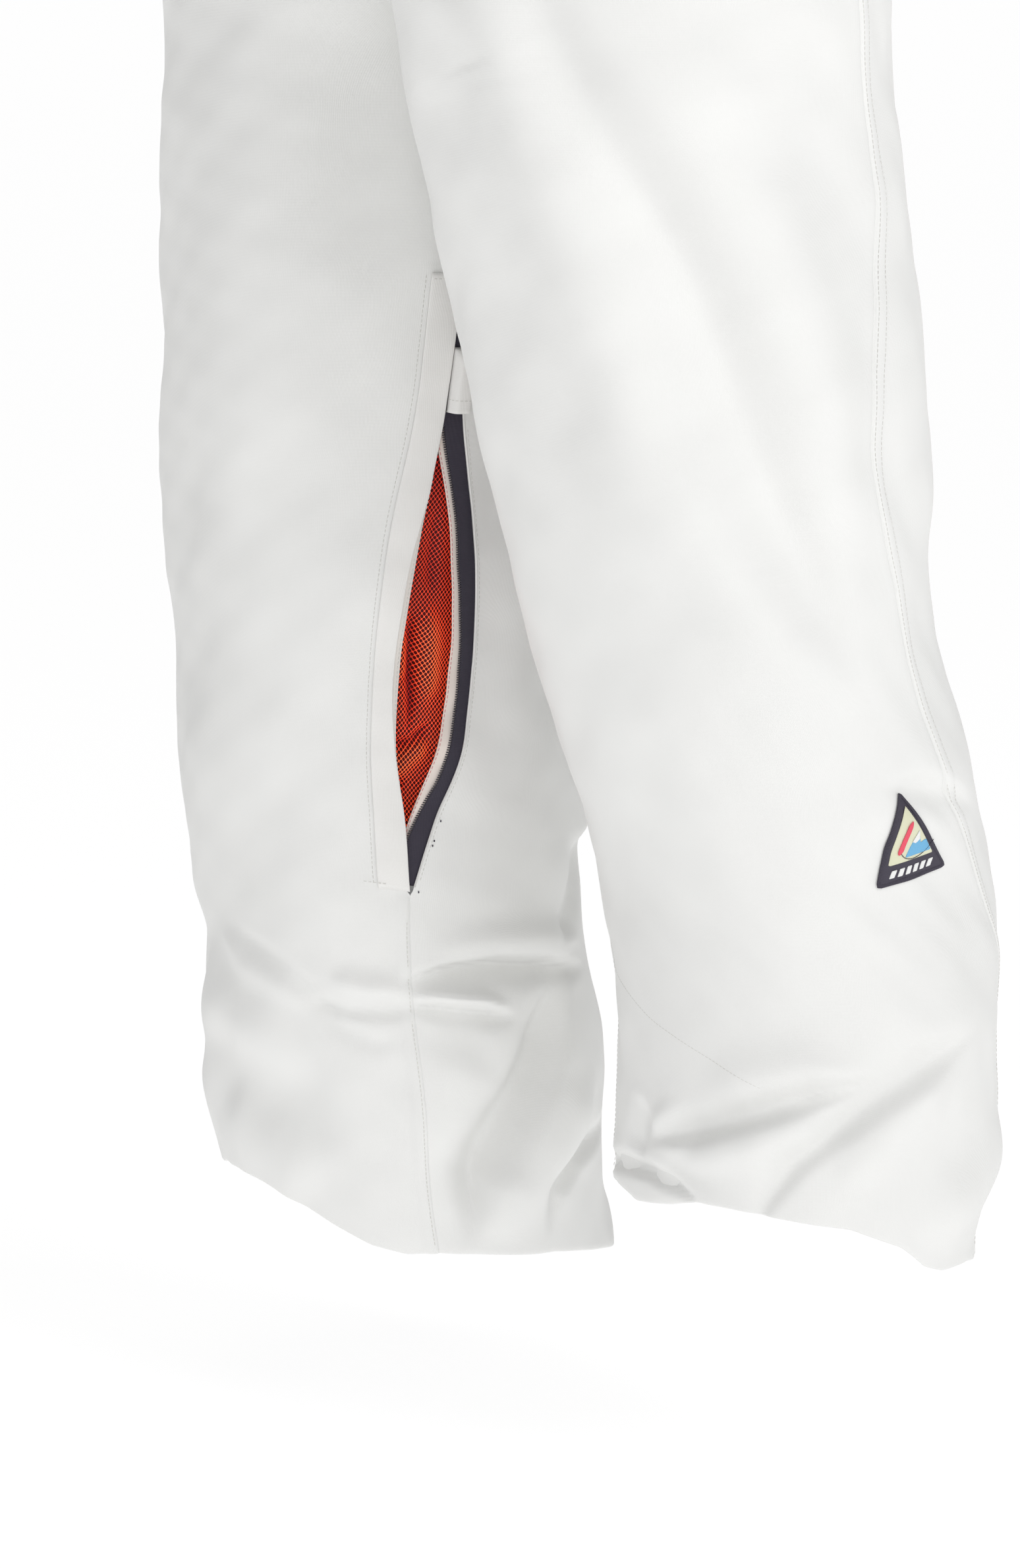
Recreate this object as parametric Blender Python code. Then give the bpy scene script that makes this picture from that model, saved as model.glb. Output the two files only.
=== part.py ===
"""Ski pants as worn: shell, closures, thigh vents, pockets, cuffs and inner gaiters.

World axes: z = 0 is the top edge of the waistband, x is the wearer's left, -y is the
wearer's front, so the garment hangs downwards from its own origin.

Both halves of the garment are one surface seen twice. A place on it is (side, u, w):
  side  1 for the wearer's left, -1 for the right
  u     degrees round the leg: 0 outseam, 90 front, 180 inseam, -90 back
  w     -1 at the waist, 0 at the crotch, 1 at the hem
"""
import math

import bpy
import numpy as np

# ---- driving dimensions: metres and degrees ----
CROTCH_Z = -0.345        # crotch seam below the top of the waistband
BAND_HEIGHT = 0.050      # waistband
BRIDGE = 23.0            # half of the crotch bridge, measured round the leg
CENTRE_GAP = 0.0004      # each half stops this far from the centre plane
SHELL = 0.0016           # laminated shell fabric
SEAM = 0.0002            # half of the gap left at every seam
ZIP_WIDTH = 0.013        # coil zip with its tapes

# level, half width, half depth, centre y of the hips
HIPS = (
    (0.000, .152, .116, .000), (-.050, .156, .119, .001), (-.120, .178, .136, .004),
    (-.200, .205, .154, .008), (-.280, .228, .163, .006), (-.345, .240, .160, .000),
    (-.400, .240, .160, .000))
# level, centre x, centre y, half width, half depth, how far the outseam turns back
LEG = {
    1: ((-.345, .117, -.024, .125, .137, 4), (-.400, .123, -.022, .118, .134, 8),
        (-.460, .126, -.013, .118, .130, 11), (-.530, .130, .000, .119, .126, 8),
        (-.600, .133, .011, .117, .120, 6), (-.655, .135, .018, .111, .112, 12),
        (-.710, .137, .031, .109, .109, 15), (-.765, .139, .050, .109, .109, 15),
        (-.820, .142, .065, .105, .105, 26), (-.875, .144, .074, .105, .105, 42),
        (-.930, .146, .075, .104, .104, 50), (-.985, .148, .070, .102, .102, 52),
        (-1.03, .150, .068, .095, .095, 52)),
    -1: ((-.345, .117, .006, .125, .137, 0), (-.400, .123, .006, .118, .134, 4),
         (-.470, .125, -.002, .118, .130, 8), (-.550, .127, -.007, .118, .124, 11),
         (-.620, .130, -.008, .118, .119, 15), (-.680, .131, -.010, .115, .115, 18),
         (-.736, .133, -.007, .112, .112, 22), (-.793, .134, -.002, .111, .111, 27),
         (-.851, .136, .005, .111, .111, 31), (-.910, .138, .013, .113, .113, 33),
         (-.970, .139, .022, .115, .115, 33), (-1.03, .141, .029, .111, .111, 33),
         (-1.08, .142, .039, .107, .107, 33))}
# hem: mid height, lift of its high side, where the high side points
HEM = {1: (-1.014, .024, 108.0), -1: (-1.060, .023, 57.0)}
# how far the outseam alone swings back over the hip and thigh: level, degrees
LAG = ((-1, 0), (-.30, 5), (0, 15), (.12, 13), (.30, 3), (.45, 0))
# thigh vent: level, stitched and free edge of the storm placket, edge of the back panel
VENT = ((.22, 166, 174.5, 177), (.34, 166, 174, 180), (.42, 163.5, 172, 188.5),
        (.53, 164, 171.5, 194.5), (.60, 166, 173.5, 192.5), (.65, 168.5, 177.5, 186.5),
        (.71, 171, 180, 180.4))
# knee dart seam: angle round the leg, level
KNEE = ((0, .93), (60, .915), (106, .89), (140, .855), (160, .83), (180, .80))
YOKE_W = -0.62           # seat yoke seam
PATCH = ((19.5, .627), (43, .709), (14, .687))   # corners of the calf badge

NAVY = (0.052, 0.046, 0.062)
WHITE = (0.83, 0.83, 0.82)


# ---- the garment surface ----
def smooth_table(table, z):
    """Values of a table at the levels z, joined by smooth cubic curves."""
    rows = np.array(table, float)
    rows = rows[np.argsort(rows[:, 0])]
    x, y = rows[:, 0], rows[:, 1:]
    slope = np.gradient(y, x, axis=0)
    z = np.clip(z, x[0], x[-1])
    k = np.clip(np.searchsorted(x, z, side="right") - 1, 0, len(x) - 2)
    h = (x[k + 1] - x[k])[..., None]
    s = (z - x[k])[..., None] / h
    return ((2 * s**3 - 3 * s**2 + 1) * y[k] + (s**3 - 2 * s**2 + s) * slope[k] * h
            + (3 * s**2 - 2 * s**3) * y[k + 1] + (s**3 - s**2) * slope[k + 1] * h)


def along(table, column, w):
    """One column of a small table, read at w by straight lines."""
    rows = np.array(table, float)
    return np.interp(w, rows[:, 0], rows[:, column])


def point(side, u, w):
    u, w = np.broadcast_arrays(np.asarray(u, float), np.asarray(w, float))
    mid, lift, high = HEM[side]
    turn = smooth_table(LEG[side], np.where(w < 0, CROTCH_Z, CROTCH_Z + (mid - CROTCH_Z) * w))[..., 4]
    hem = mid + lift * np.cos(np.radians(u - turn - high))
    z = np.where(w < 0, CROTCH_Z * (1 + w), CROTCH_Z + (hem - CROTCH_Z) * w)
    leg = smooth_table(LEG[side], z)
    round_u = np.clip(np.abs((u + 180) % 360 - 180), 0, 60)
    lag = np.interp(w, *np.transpose(LAG)) * np.cos(np.radians(1.5 * round_u))**2
    angle = np.radians(u - leg[..., 4] - lag)
    leg_x = leg[..., 0] + leg[..., 2] * np.cos(angle)
    leg_y = leg[..., 1] - leg[..., 3] * np.sin(angle)
    leg_x = CENTRE_GAP + 0.004 * np.logaddexp(0, (leg_x - CENTRE_GAP) / 0.004)
    hips = smooth_table(HIPS, z)
    half = 180 - BRIDGE
    turn_in = np.radians(np.clip((half - np.abs(u)) / half, 0, 1) * 90)
    front = np.where(u < 0, -1, 1)
    hip_x = hips[..., 0] * np.sin(turn_in) + CENTRE_GAP
    hip_y = hips[..., 2] - front * hips[..., 1] * np.cos(turn_in)
    t = np.clip((-0.20 - z) / 0.145, 0, 1)
    k = np.where(w >= 0, 1.0, t * t * (3 - 2 * t))
    return np.stack([side * (hip_x + (leg_x - hip_x) * k), hip_y + (leg_y - hip_y) * k, z], -1)


def normal(side, u, w):
    du, dw = 0.5, 0.002
    w = np.where(np.abs(w) < dw, np.where(w < 0, -dw, dw), w)
    across = point(side, u + du, w) - point(side, u - du, w)
    down = point(side, u, w + dw) - point(side, u, w - dw)
    n = np.cross(across, down) * side
    return n / np.maximum(np.linalg.norm(n, axis=-1, keepdims=True), 1e-12)


def place(side, u, w, offset=0.0):
    u, w, offset = np.broadcast_arrays(np.asarray(u, float), np.asarray(w, float),
                                       np.asarray(offset, float))
    return point(side, u, w) + normal(side, u, w) * offset[..., None]


def waist(theta, z, offset=0.0):
    """A place on the waistband: theta is 0 at the centre front, 90 at the wearer's left."""
    theta, z, offset = np.broadcast_arrays(np.radians(theta), np.asarray(z, float),
                                           np.asarray(offset, float))
    hips = smooth_table(HIPS, z)
    x, y = hips[..., 0] * np.sin(theta), hips[..., 2] - hips[..., 1] * np.cos(theta)
    n = np.stack([np.sin(theta) / hips[..., 0], -np.cos(theta) / hips[..., 1]], -1)
    n = n / np.linalg.norm(n, axis=-1, keepdims=True)
    return np.stack([x + n[..., 0] * offset, y + n[..., 1] * offset, z], -1)


# ---- building solids ----
def material(name, colour, roughness, metallic=0.0):
    found = bpy.data.materials.get(name)
    if found:
        return found
    made = bpy.data.materials.new(name)
    made.use_nodes = True
    shader = made.node_tree.nodes["Principled BSDF"]
    shader.inputs["Base Color"].default_value = (*colour, 1)
    shader.inputs["Roughness"].default_value = roughness
    shader.inputs["Metallic"].default_value = metallic
    made.diffuse_color = (*colour, 1)
    return made


def add_object(name, points, faces, paint, smooth=True, origin=(0, 0, 0)):
    points = np.asarray(points, float) - np.asarray(origin, float)
    mesh = bpy.data.meshes.new(name)
    mesh.from_pydata([tuple(p) for p in points], [], [tuple(int(i) for i in f) for f in faces])
    made = bpy.data.objects.new(name, mesh)
    made.location = origin
    bpy.context.scene.collection.objects.link(made)
    mesh.materials.append(material(*paint))
    volume = 0.0
    for face in mesh.polygons:
        corners = [mesh.vertices[i].co for i in face.vertices]
        for i in range(1, len(corners) - 1):
            volume += corners[0].dot(corners[i].cross(corners[i + 1]))
    if volume < 0:
        mesh.flip_normals()
    for face in mesh.polygons:
        face.use_smooth = smooth
    return made


def sheet(name, outer, inner, faces, paint, origin=(0, 0, 0)):
    """A closed solid between two matching layers of points; its rim is walled in."""
    outer, inner = np.asarray(outer).reshape(-1, 3), np.asarray(inner).reshape(-1, 3)
    used = sorted({i for f in faces for i in f})
    index = {old: new for new, old in enumerate(used)}
    faces = [tuple(index[i] for i in f) for f in faces]
    count = len(used)
    rim = {}
    for f in faces:
        for a, b in zip(f, f[1:] + f[:1]):
            if (b, a) in rim:
                del rim[(b, a)]
            else:
                rim[(a, b)] = True
    solid = list(faces) + [tuple(i + count for i in reversed(f)) for f in faces]
    solid += [(b, a, a + count, b + count) for a, b in rim]
    points = np.concatenate([outer[used], inner[used]])
    return add_object(name, points, solid, paint, True, origin)


def grid_faces(rows, columns, ring=False, keep=None):
    """Quads of a grid of points; keep(row, column) picks which of them exist."""
    faces = []
    for r in range(rows - 1):
        for c in range(columns if ring else columns - 1):
            if keep is None or keep(r, c):
                d = (c + 1) % columns
                faces.append((r * columns + c, r * columns + d,
                              (r + 1) * columns + d, (r + 1) * columns + c))
    return faces


def cloth(name, side, u, w, top, bottom, paint, ring=False, keep=None, origin=(0, 0, 0)):
    """A piece of the garment over the grids u and w, between two offsets from the surface."""
    u, w = np.broadcast_arrays(np.asarray(u, float), np.asarray(w, float))
    return sheet(name, place(side, u, w, top), place(side, u, w, bottom),
                 grid_faces(*u.shape, ring, keep), paint, origin)


def patch_on_band(name, theta, z, top, bottom, paint, origin=(0, 0, 0)):
    theta, z = np.meshgrid(theta, z)
    return sheet(name, waist(theta, z, top), waist(theta, z, bottom),
                 grid_faces(*theta.shape), paint, origin)


for leftover in list(bpy.data.objects):
    bpy.data.objects.remove(leftover)

SHELL_PAINT = ("shell fabric", WHITE, 0.75)
LINING_PAINT = ("lining", (0.62, 0.63, 0.64), 0.8)
TRIM_PAINT = ("shell trim", (0.80, 0.80, 0.79), 0.7)
TAPE_PAINT = ("zip tape", NAVY, 0.6)
MESH_PAINT = ("vent mesh", (0.80, 0.10, 0.03), 0.7)
METAL_PAINT = ("zip metal", (0.22, 0.22, 0.24), 0.35, 0.9)
RUBBER_PAINT = ("cuff elastic", (0.05, 0.05, 0.06), 0.8)

# ---- shell panels ----
OUTER = np.linspace(0, 180 - BRIDGE, 15)          # columns that reach the waist
INNER = np.linspace(0, 1, 5)[1:]                  # columns that start at the crotch
TOP_W = -1 + (BAND_HEIGHT + 2 * SEAM) / -CROTCH_Z
SEAM_W = 0.0003
SEAM_U = 0.50


def panel_columns(edge, inside):
    """Columns from the outseam to an edge at the inseam, one row for each entry of edge."""
    outer = np.tile(np.maximum(OUTER, inside), (len(edge), 1))
    inner = (180 - BRIDGE) + (np.asarray(edge)[:, None] - (180 - BRIDGE)) * INNER[None, :]
    return np.concatenate([outer, inner], 1)


def vent_edge(w, column, shift, side):
    """Edge of a panel at the inseam; only the right vent stands open."""
    plain = np.full(len(w), 180.0)
    if side > 0:
        return plain - SEAM_U
    inside = (w > VENT[0][0]) & (w < VENT[-1][0])
    edge = np.where(inside, along(VENT, column, w) + shift, 180.0)
    return edge if column == 3 else np.minimum(edge, 180 - SEAM_U)


def levels(first, last, step, extra=()):
    count = max(1, round((last - first) / step))
    every = list(np.linspace(first, last, count + 1)) + [e for e in extra if first < e < last]
    return np.array(sorted(set(round(float(e), 5) for e in every)))


VENT_LEVELS = (VENT[0][0] + .001, VENT[0][0] - .001, .64, VENT[-1][0] - .001, VENT[-1][0] + .001)


def knee_level(u):
    return np.interp(u, [k[0] for k in KNEE], [k[1] for k in KNEE])


def leg_rows(side, low, high_w, back):
    """Rows and columns of the part of a panel below the crotch."""
    w = levels(low, high_w, 0.060, VENT_LEVELS if side < 0 else ())
    edge = 360 - vent_edge(w, 3, 0.0, side) if back else vent_edge(w, 2, -0.6, side)
    if back:
        edge = np.minimum(edge, 180 - SEAM_U)
    return w, edge


for side, word in ((1, "left"), (-1, "right")):
    columns = len(OUTER) + len(INNER)
    # front panel: waist to knee seam
    w_low, edge = leg_rows(side, 0.0, 0.80, False)
    w_high = levels(TOP_W, -0.08, 0.10)
    u = panel_columns(np.concatenate([np.full(len(w_high), 180 - SEAM_U), edge]), SEAM_U)
    w = np.tile(np.concatenate([w_high, w_low])[:, None], (1, columns))
    knee = knee_level(u[-1]) - SEAM_W
    reach = w > 0.70
    w = np.where(reach, 0.70 + (w - 0.70) / 0.10 * (knee[None, :] - 0.70), w)
    split = len(w_high)
    cloth(f"{word}_front_panel", side, u, w, 0, -SHELL, SHELL_PAINT,
          keep=lambda r, c: r >= split or c < len(OUTER) - 1)
    # shin panel: knee seam to hem
    t = np.linspace(0, 1, 7)[:, None]
    u = np.tile(panel_columns(np.array([180 - SEAM_U]), SEAM_U), (7, 1))
    low = knee_level(u) + SEAM_W
    cloth(f"{word}_shin_panel", side, u, low + (1 - low) * t, 0, -SHELL, SHELL_PAINT)
    # back panel: yoke seam to hem
    w_low, edge = leg_rows(side, 0.0, 1.0, True)
    w_high = levels(YOKE_W + SEAM_W, -0.06, 0.10)
    u = -panel_columns(np.concatenate([np.full(len(w_high), 180 - SEAM_U), edge]), SEAM_U)
    w = np.tile(np.concatenate([w_high, w_low])[:, None], (1, columns))
    split_back = len(w_high)
    cloth(f"{word}_back_panel", side, u, w, 0, -SHELL, SHELL_PAINT,
          keep=lambda r, c: r >= split_back or c < len(OUTER) - 1)
    # seat yoke
    u, w = np.meshgrid(-np.maximum(OUTER, SEAM_U), levels(TOP_W, YOKE_W - SEAM_W, 0.06))
    cloth(f"{word}_back_yoke", side, u, w, 0, -SHELL, SHELL_PAINT)

    # hem facing, gaiter and its elastic, all inside the leg
    ring_u = np.arange(-180, 180, 12.0)
    u, w = np.meshgrid(ring_u, (0.963, 0.980, 0.9985))
    cloth(f"{word}_hem_facing", side, u, w, -SHELL - .0016, -SHELL - .0026, TRIM_PAINT, ring=True)
    t = np.linspace(0, 1, 5)
    u, w = np.meshgrid(ring_u, 0.79 + t * 0.155)
    drop = -(SHELL + .0045) - np.tile(0.021 * np.clip(t * 1.15, 0, 1)[:, None]**1.3, (1, len(ring_u)))
    cloth(f"{word}_gaiter", side, u, w, drop, drop - .001, LINING_PAINT, ring=True)
    u, w = np.meshgrid(ring_u, (0.9465, 0.956, 0.966))
    cloth(f"{word}_gaiter_elastic", side, u, w, -.0225, -.0250, RUBBER_PAINT, ring=True)

# ---- waistband ----
band_theta = np.linspace(0.25, 359.75, 41)
patch_on_band("waistband", band_theta, (-BAND_HEIGHT, -.025, 0), .0004, -.0018, SHELL_PAINT)
patch_on_band("waistband_lining", band_theta, (-BAND_HEIGHT + .003, -.024, -.002),
              -.0024, -.0034, LINING_PAINT)
BELT_LOOPS = (38, 108, 163, 197, 252, 322)
for number, centre in enumerate(BELT_LOOPS, 1):
    z = np.array([.0005, -.004, -.008, -.013, -.037, -.042, -.046, -.0495])
    rise = np.array([.0008, .0008, .0020, .0040, .0040, .0020, .0008, .0008])[:, None]
    rise = np.tile(rise, (1, 4))
    patch_on_band(f"belt_loop_{number}", np.linspace(centre - 1.9, centre + 1.9, 4), z,
                  rise + .0012, rise, TRIM_PAINT)

# overlap tab of the waistband: hinged at its sewn end, held by two snaps
TAB_FROM, TAB_TO = -13.0, 15.0
tab_hinge = waist(TAB_TO, -.025, .0032)
patch_on_band("waist_tab", np.linspace(TAB_FROM, TAB_TO, 15), (-.047, -.025, -.003),
              .0040, .0026, TRIM_PAINT, origin=tab_hinge)


def button(name, theta, z, foot, head, radius, paint, origin=(0, 0, 0)):
    """A low round stud standing on the waistband."""
    middle = waist(theta, z, 0.0)
    out = waist(theta, z, 1.0) - middle
    side_way = np.cross(out, (0, 0, 1.0))
    side_way /= np.linalg.norm(side_way)
    turns = np.radians(np.arange(0, 360, 20))
    profile = ((foot, radius), (head - .0006, radius), (head, radius * 0.8))
    points = [middle + out * n + (side_way * math.cos(a) + np.array([0, 0, 1]) * math.sin(a)) * r
              for n, r in profile for a in turns]
    count = len(turns)
    faces = grid_faces(3, count, ring=True)
    faces += [tuple(range(count))[::-1], tuple(range(2 * count, 3 * count))]
    return add_object(name, points, faces, paint, True, origin)


for word, theta in (("upper", -9.0), ("lower", -2.5)):
    button(f"snap_stud_{word}", theta, -.025, .0008, .0022, .0042, METAL_PAINT)
    button(f"snap_cap_{word}", theta, -.025, .0044, .0064, .0065, METAL_PAINT, tab_hinge)

# side adjusters: straps that slide round the waistband
ADJUSTER_TRAVEL = 0.030
for side, word in ((1, "left"), (-1, "right")):
    theta = np.linspace(66, 88, 10) * side
    start = waist(theta[-1], -.025, .0013)
    patch_on_band(f"{word}_adjuster_tab", theta[::side], (-.040, -.025, -.010),
                  .0030, .0013, TRIM_PAINT, origin=start)

# back pocket flaps: sewn along their top edge, they lift
for side, word in ((1, "left"), (-1, "right")):
    u, w = np.meshgrid(-np.linspace(68, 118, 11), np.linspace(-.585, -.40, 5))
    hinge_at = place(side, -93.0, -.585, .0012)
    cloth(f"{word}_back_flap", side, u, w, .0028, .0014, TRIM_PAINT, origin=hinge_at)

# fly: coil zip on the centre front with a shield behind it
def centre_strip(name, half_width, top_z, low_z, top, bottom, paint):
    """A strip over the centre front seam, running across both halves."""
    z = np.linspace(top_z, low_z, 8)
    lift_top, lift_low = [], []
    for level in z:
        w = level / CROTCH_Z - 1
        front = point(1, 180 - BRIDGE, w)
        slope = point(1, 180 - BRIDGE, w + .01) - point(1, 180 - BRIDGE, w - .01)
        out = np.array([0, slope[2], -slope[1]])
        out /= np.linalg.norm(out)
        for x in np.linspace(-half_width, half_width, 5):
            fall = x * x / 0.44
            lift_top.append(np.array([x, front[1] + fall, front[2]]) + out * top)
            lift_low.append(np.array([x, front[1] + fall, front[2]]) + out * bottom)
    return sheet(name, lift_top, lift_low, grid_faces(8, 5), paint)


centre_strip("fly_zip_tape", ZIP_WIDTH / 2, -.052, -.200, .0022, .0014, TAPE_PAINT)
centre_strip("fly_shield", .022, -.056, -.210, -SHELL - .0022, -SHELL - .0034, LINING_PAINT)


# ---- zip sliders and their pulls ----
def block_points(profile, half_width):
    return [(x, t, n) for x in (-half_width, half_width) for t, n in profile]


def prism(name, profile, half_width, frame, paint, hole=None):
    """A side profile (t, n) carried across the zip; a hole makes it a bridge."""
    count = len(profile)
    points = block_points(profile, half_width)
    faces = [(i, (i + 1) % count, (i + 1) % count + count, i + count) for i in range(count)]
    if hole is None:
        faces += [tuple(range(count))[::-1], tuple(range(count, 2 * count))]
    else:
        start = len(points)
        points += block_points(hole, half_width)
        faces += [(start + (i + 1) % count, start + i, start + i + count,
                   start + (i + 1) % count + count) for i in range(count)]
        for i in range(count):
            j = (i + 1) % count
            faces.append((j, i, start + i, start + j))
            faces.append((i + count, j + count, start + j + count, start + i + count))
    return to_world(name, points, faces, frame, paint)


def to_world(name, points, faces, frame, paint):
    middle, across, travel, out = frame
    world = [middle + across * x + travel * t + out * n for x, t, n in points]
    return add_object(name, world, faces, paint, False, middle)


FLY_LIFT = 0.0038        # clearances of the sliders over the shell
POCKET_LIFT = 0.0045
VENT_LIFT = 0.0035
BASE = 0.0024            # height of a slider body
BAR_Z = BASE + .0009     # height of the axis that a pull turns on


def slider(name, frame):
    """Slider body: a wide foot, and over it the bridge that holds the pull."""
    outline = ((-.0055, .0004), (.0055, .0004), (.0055, .0016), (.0034, BASE), (.0030, .0054),
               (-.0030, .0054), (-.0034, BASE), (-.0055, .0016))
    window = ((-.0012, BASE), (.0012, BASE), (.0018, .0027), (.0018, .0034), (.0014, .0042),
              (-.0014, .0042), (-.0018, .0034), (-.0018, .0027))
    foot = ((-.0050, 0), (.0050, 0), (.0060, .0012), (.0045, .0020), (-.0045, .0020),
            (-.0060, .0012))
    body = prism(name, outline, .0016, frame, METAL_PAINT, window)
    wide = prism(name + "_foot", foot, .0040, frame, METAL_PAINT)
    join = body.modifiers.new("foot", "BOOLEAN")
    join.operation, join.solver, join.object = "UNION", "EXACT", wide
    graph = bpy.context.evaluated_depsgraph_get()
    joined = bpy.data.meshes.new_from_object(body.evaluated_get(graph))
    body.modifiers.clear()
    body.data = joined
    bpy.data.objects.remove(wide)
    return body


def pull(name, frame, length=0.026):
    """Flat pull: a ring end through the slider's bridge, then a grip."""
    middle, across, travel, out = frame
    axis_at = middle + out * BAR_Z
    thick = .0005
    ring = ((-.0032, length), (.0032, length), (.0032, -.0006), (-.0032, -.0006))
    hole = ((-.0020, .0044), (.0020, .0044), (.0020, .0006), (-.0020, .0006))
    points = [(x, t, n) for n in (-thick, thick) for x, t in ring]
    points += [(x, t, n) for n in (-thick, thick) for x, t in hole]
    faces = []
    for i in range(4):
        j = (i + 1) % 4
        faces += [(i, j, j + 4, i + 4), (j + 8, i + 8, i + 12, j + 12),
                  (j, i, i + 8, j + 8), (i + 4, j + 4, j + 12, i + 12)]
    return to_world(name, points, faces, (axis_at, across, travel, out), METAL_PAINT)


def zip_frame(start, end, out):
    """Axes of a slider that travels from start to end: across, travel, out."""
    travel = (end - start) / np.linalg.norm(end - start)
    across = np.cross(travel, out)
    across /= np.linalg.norm(across)
    return start, across, travel, np.cross(across, travel)


ZIPS = {}                # where each slider starts and which way it runs


def surface_zip(name, start, end, lift, travel_share):
    """Slider and pull on a zip between two places (side, u, w), lying along its chord."""
    first, last = point(*start), point(*end)
    frame = zip_frame(first, last, normal(*start) + normal(*end))
    middle = first + (last - first) * travel_share + frame[3] * lift
    frame = (middle,) + frame[1:]
    slider(name + "_slider", frame)
    pull(name + "_pull", frame)
    ZIPS[name] = frame


# the fly runs down the centre plane, between both halves
FLY_TOP, FLY_LOW = -.060, -.185
fly_start = point(1, 180 - BRIDGE, FLY_TOP / CROTCH_Z - 1) * np.array([0, 1, 1])
fly_end = point(1, 180 - BRIDGE, FLY_LOW / CROTCH_Z - 1) * np.array([0, 1, 1])
fly = zip_frame(fly_start, fly_end, np.array([0, -1.0, 0]))
fly = (fly_start + fly[3] * FLY_LIFT,) + fly[1:]
slider("fly_slider", fly)
pull("fly_pull", fly)

# ---- hand pockets: slanted zips on the front panels, with a bag behind ----
POCKET = ((44, -.76), (30, -.36))        # upper and lower end of the zip, (u, w)
for side, word in ((1, "left"), (-1, "right")):
    (u0, w0), (u1, w1) = POCKET
    t = np.linspace(0, 1, 9)[:, None]
    centre_u, centre_w = u0 + (u1 - u0) * t, w0 + (w1 - w0) * t
    spread = np.linspace(-1, 1, 4)[None, :] * ZIP_WIDTH / 2
    u = centre_u + np.degrees(spread / 0.17)
    w = centre_w + 0 * spread
    cloth(f"{word}_pocket_zip_tape", side, u, w, .0022, .0014, TAPE_PAINT)
    u, w = np.meshgrid(np.linspace(28, 110, 9), np.linspace(-.80, -.10, 7))
    cloth(f"{word}_pocket_bag", side, u, w, -SHELL - .0026, -SHELL - .0036, LINING_PAINT)
    surface_zip(f"{word}_pocket", (side, u0, w0 + .04), (side, u1, w1 - .06), POCKET_LIFT, 0.0)

# ---- thigh vents ----
vent_w = np.linspace(VENT[0][0] + .006, VENT[-1][0] - .004, 19)
stitched, free, back = (along(VENT, k, vent_w) for k in (1, 2, 3))


def strip(name, side, w, first, last, top, bottom, paint, columns=4):
    """A band of cloth along the vent, from angle first to angle last at each level."""
    t = np.linspace(0, 1, columns)[None, :]
    first, last = np.asarray(first)[:, None], np.asarray(last)[:, None]
    w = np.tile(np.asarray(w)[:, None], (1, columns))
    return cloth(name, side, first + (last - first) * t, w, top, bottom, paint)


# right vent, unzipped: placket, tapes, white facing and mesh gusset behind the gap
strip("right_vent_placket", -1, vent_w, stitched, free, .0020, .0010, TRIM_PAINT, 5)
cut = slice(5, -1)
strip("right_vent_tape_back", -1, vent_w[cut], back[cut] - 5.4, back[cut] + 2.5,
      -SHELL - .0011, -SHELL - .0019, TAPE_PAINT, 5)
strip("right_vent_tape_front", -1, vent_w[5:-3], free[5:-3] - 7.5, free[5:-3] - 1.4,
      -SHELL - .0011, -SHELL - .0019, TAPE_PAINT, 5)
cut = slice(5, -4)
strip("right_vent_facing", -1, vent_w[cut], back[cut] - 8.6, back[cut] + 1.5,
      -SHELL - .0027, -SHELL - .0035, TRIM_PAINT, 5)
t = np.linspace(0, 1, 9)[None, :]
w = np.tile(vent_w[:, None], (1, 9))
u = (free - 9)[:, None] + (back + 5 - free + 9)[:, None] * t
sag = .0035 * np.sin(np.pi * t) * np.sin(np.pi * np.linspace(0, 1, 19))[:, None]
cloth("right_vent_mesh", -1, u, w, -SHELL - .0045 - sag, -SHELL - .0055 - sag, MESH_PAINT)
garage_w = np.linspace(.284, .330, 4)
strip("right_vent_garage", -1, garage_w, np.full(4, 174.6), np.full(4, 181.5),
      .0088, .0078, TRIM_PAINT, 4)

# left vent, zipped shut
closed_w = np.linspace(VENT[0][0], VENT[-1][0], 19)
strip("left_vent_placket", 1, closed_w, np.full(19, 165.0), np.full(19, 174.0),
      .0020, .0010, TRIM_PAINT, 5)
strip("left_vent_zip_tape", 1, closed_w, np.full(19, 176.8), np.full(19, 183.2),
      .0018, .0010, TAPE_PAINT, 5)
strip("left_vent_mesh", 1, closed_w, np.full(19, 168.0), np.full(19, 192.0),
      -SHELL - .0018, -SHELL - .0028, MESH_PAINT, 9)
surface_zip("left_vent", (1, 180, .245), (1, 180, .40), VENT_LIFT, 0.0)
surface_zip("right_vent", (-1, 177.4, .292), (-1, 178.0, .46), -.0006, 0.0)

# ---- calf badge: a rounded triangle on the outer calf of the wearer's left leg ----
corner = np.array(PATCH)
middle = corner.mean(0)
turns = np.arange(36)
rim = []
for k in turns:
    side_number, share = divmod(k, 12)
    a, b, c = (corner[(side_number + i) % 3] for i in (0, 1, 2))
    edge = a + (b - a) * (share / 12)
    rounding = abs(share - 6) / 6
    rim.append(edge + (middle - edge) * 0.09 * rounding**6)
rim = np.array(rim)
loops = np.array([middle + (rim - middle) * s for s in (0.34, 0.67, 1.0)]).reshape(-1, 2)
spots = np.concatenate([loops, middle[None, :]])
faces = grid_faces(3, 36, ring=True)
faces += [(k, 108, (k + 1) % 36) for k in range(36)]
sheet("calf_patch", place(1, spots[:, 0], spots[:, 1], .0020),
      place(1, spots[:, 0], spots[:, 1], .0010), faces, TAPE_PAINT)
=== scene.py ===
import math

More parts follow.
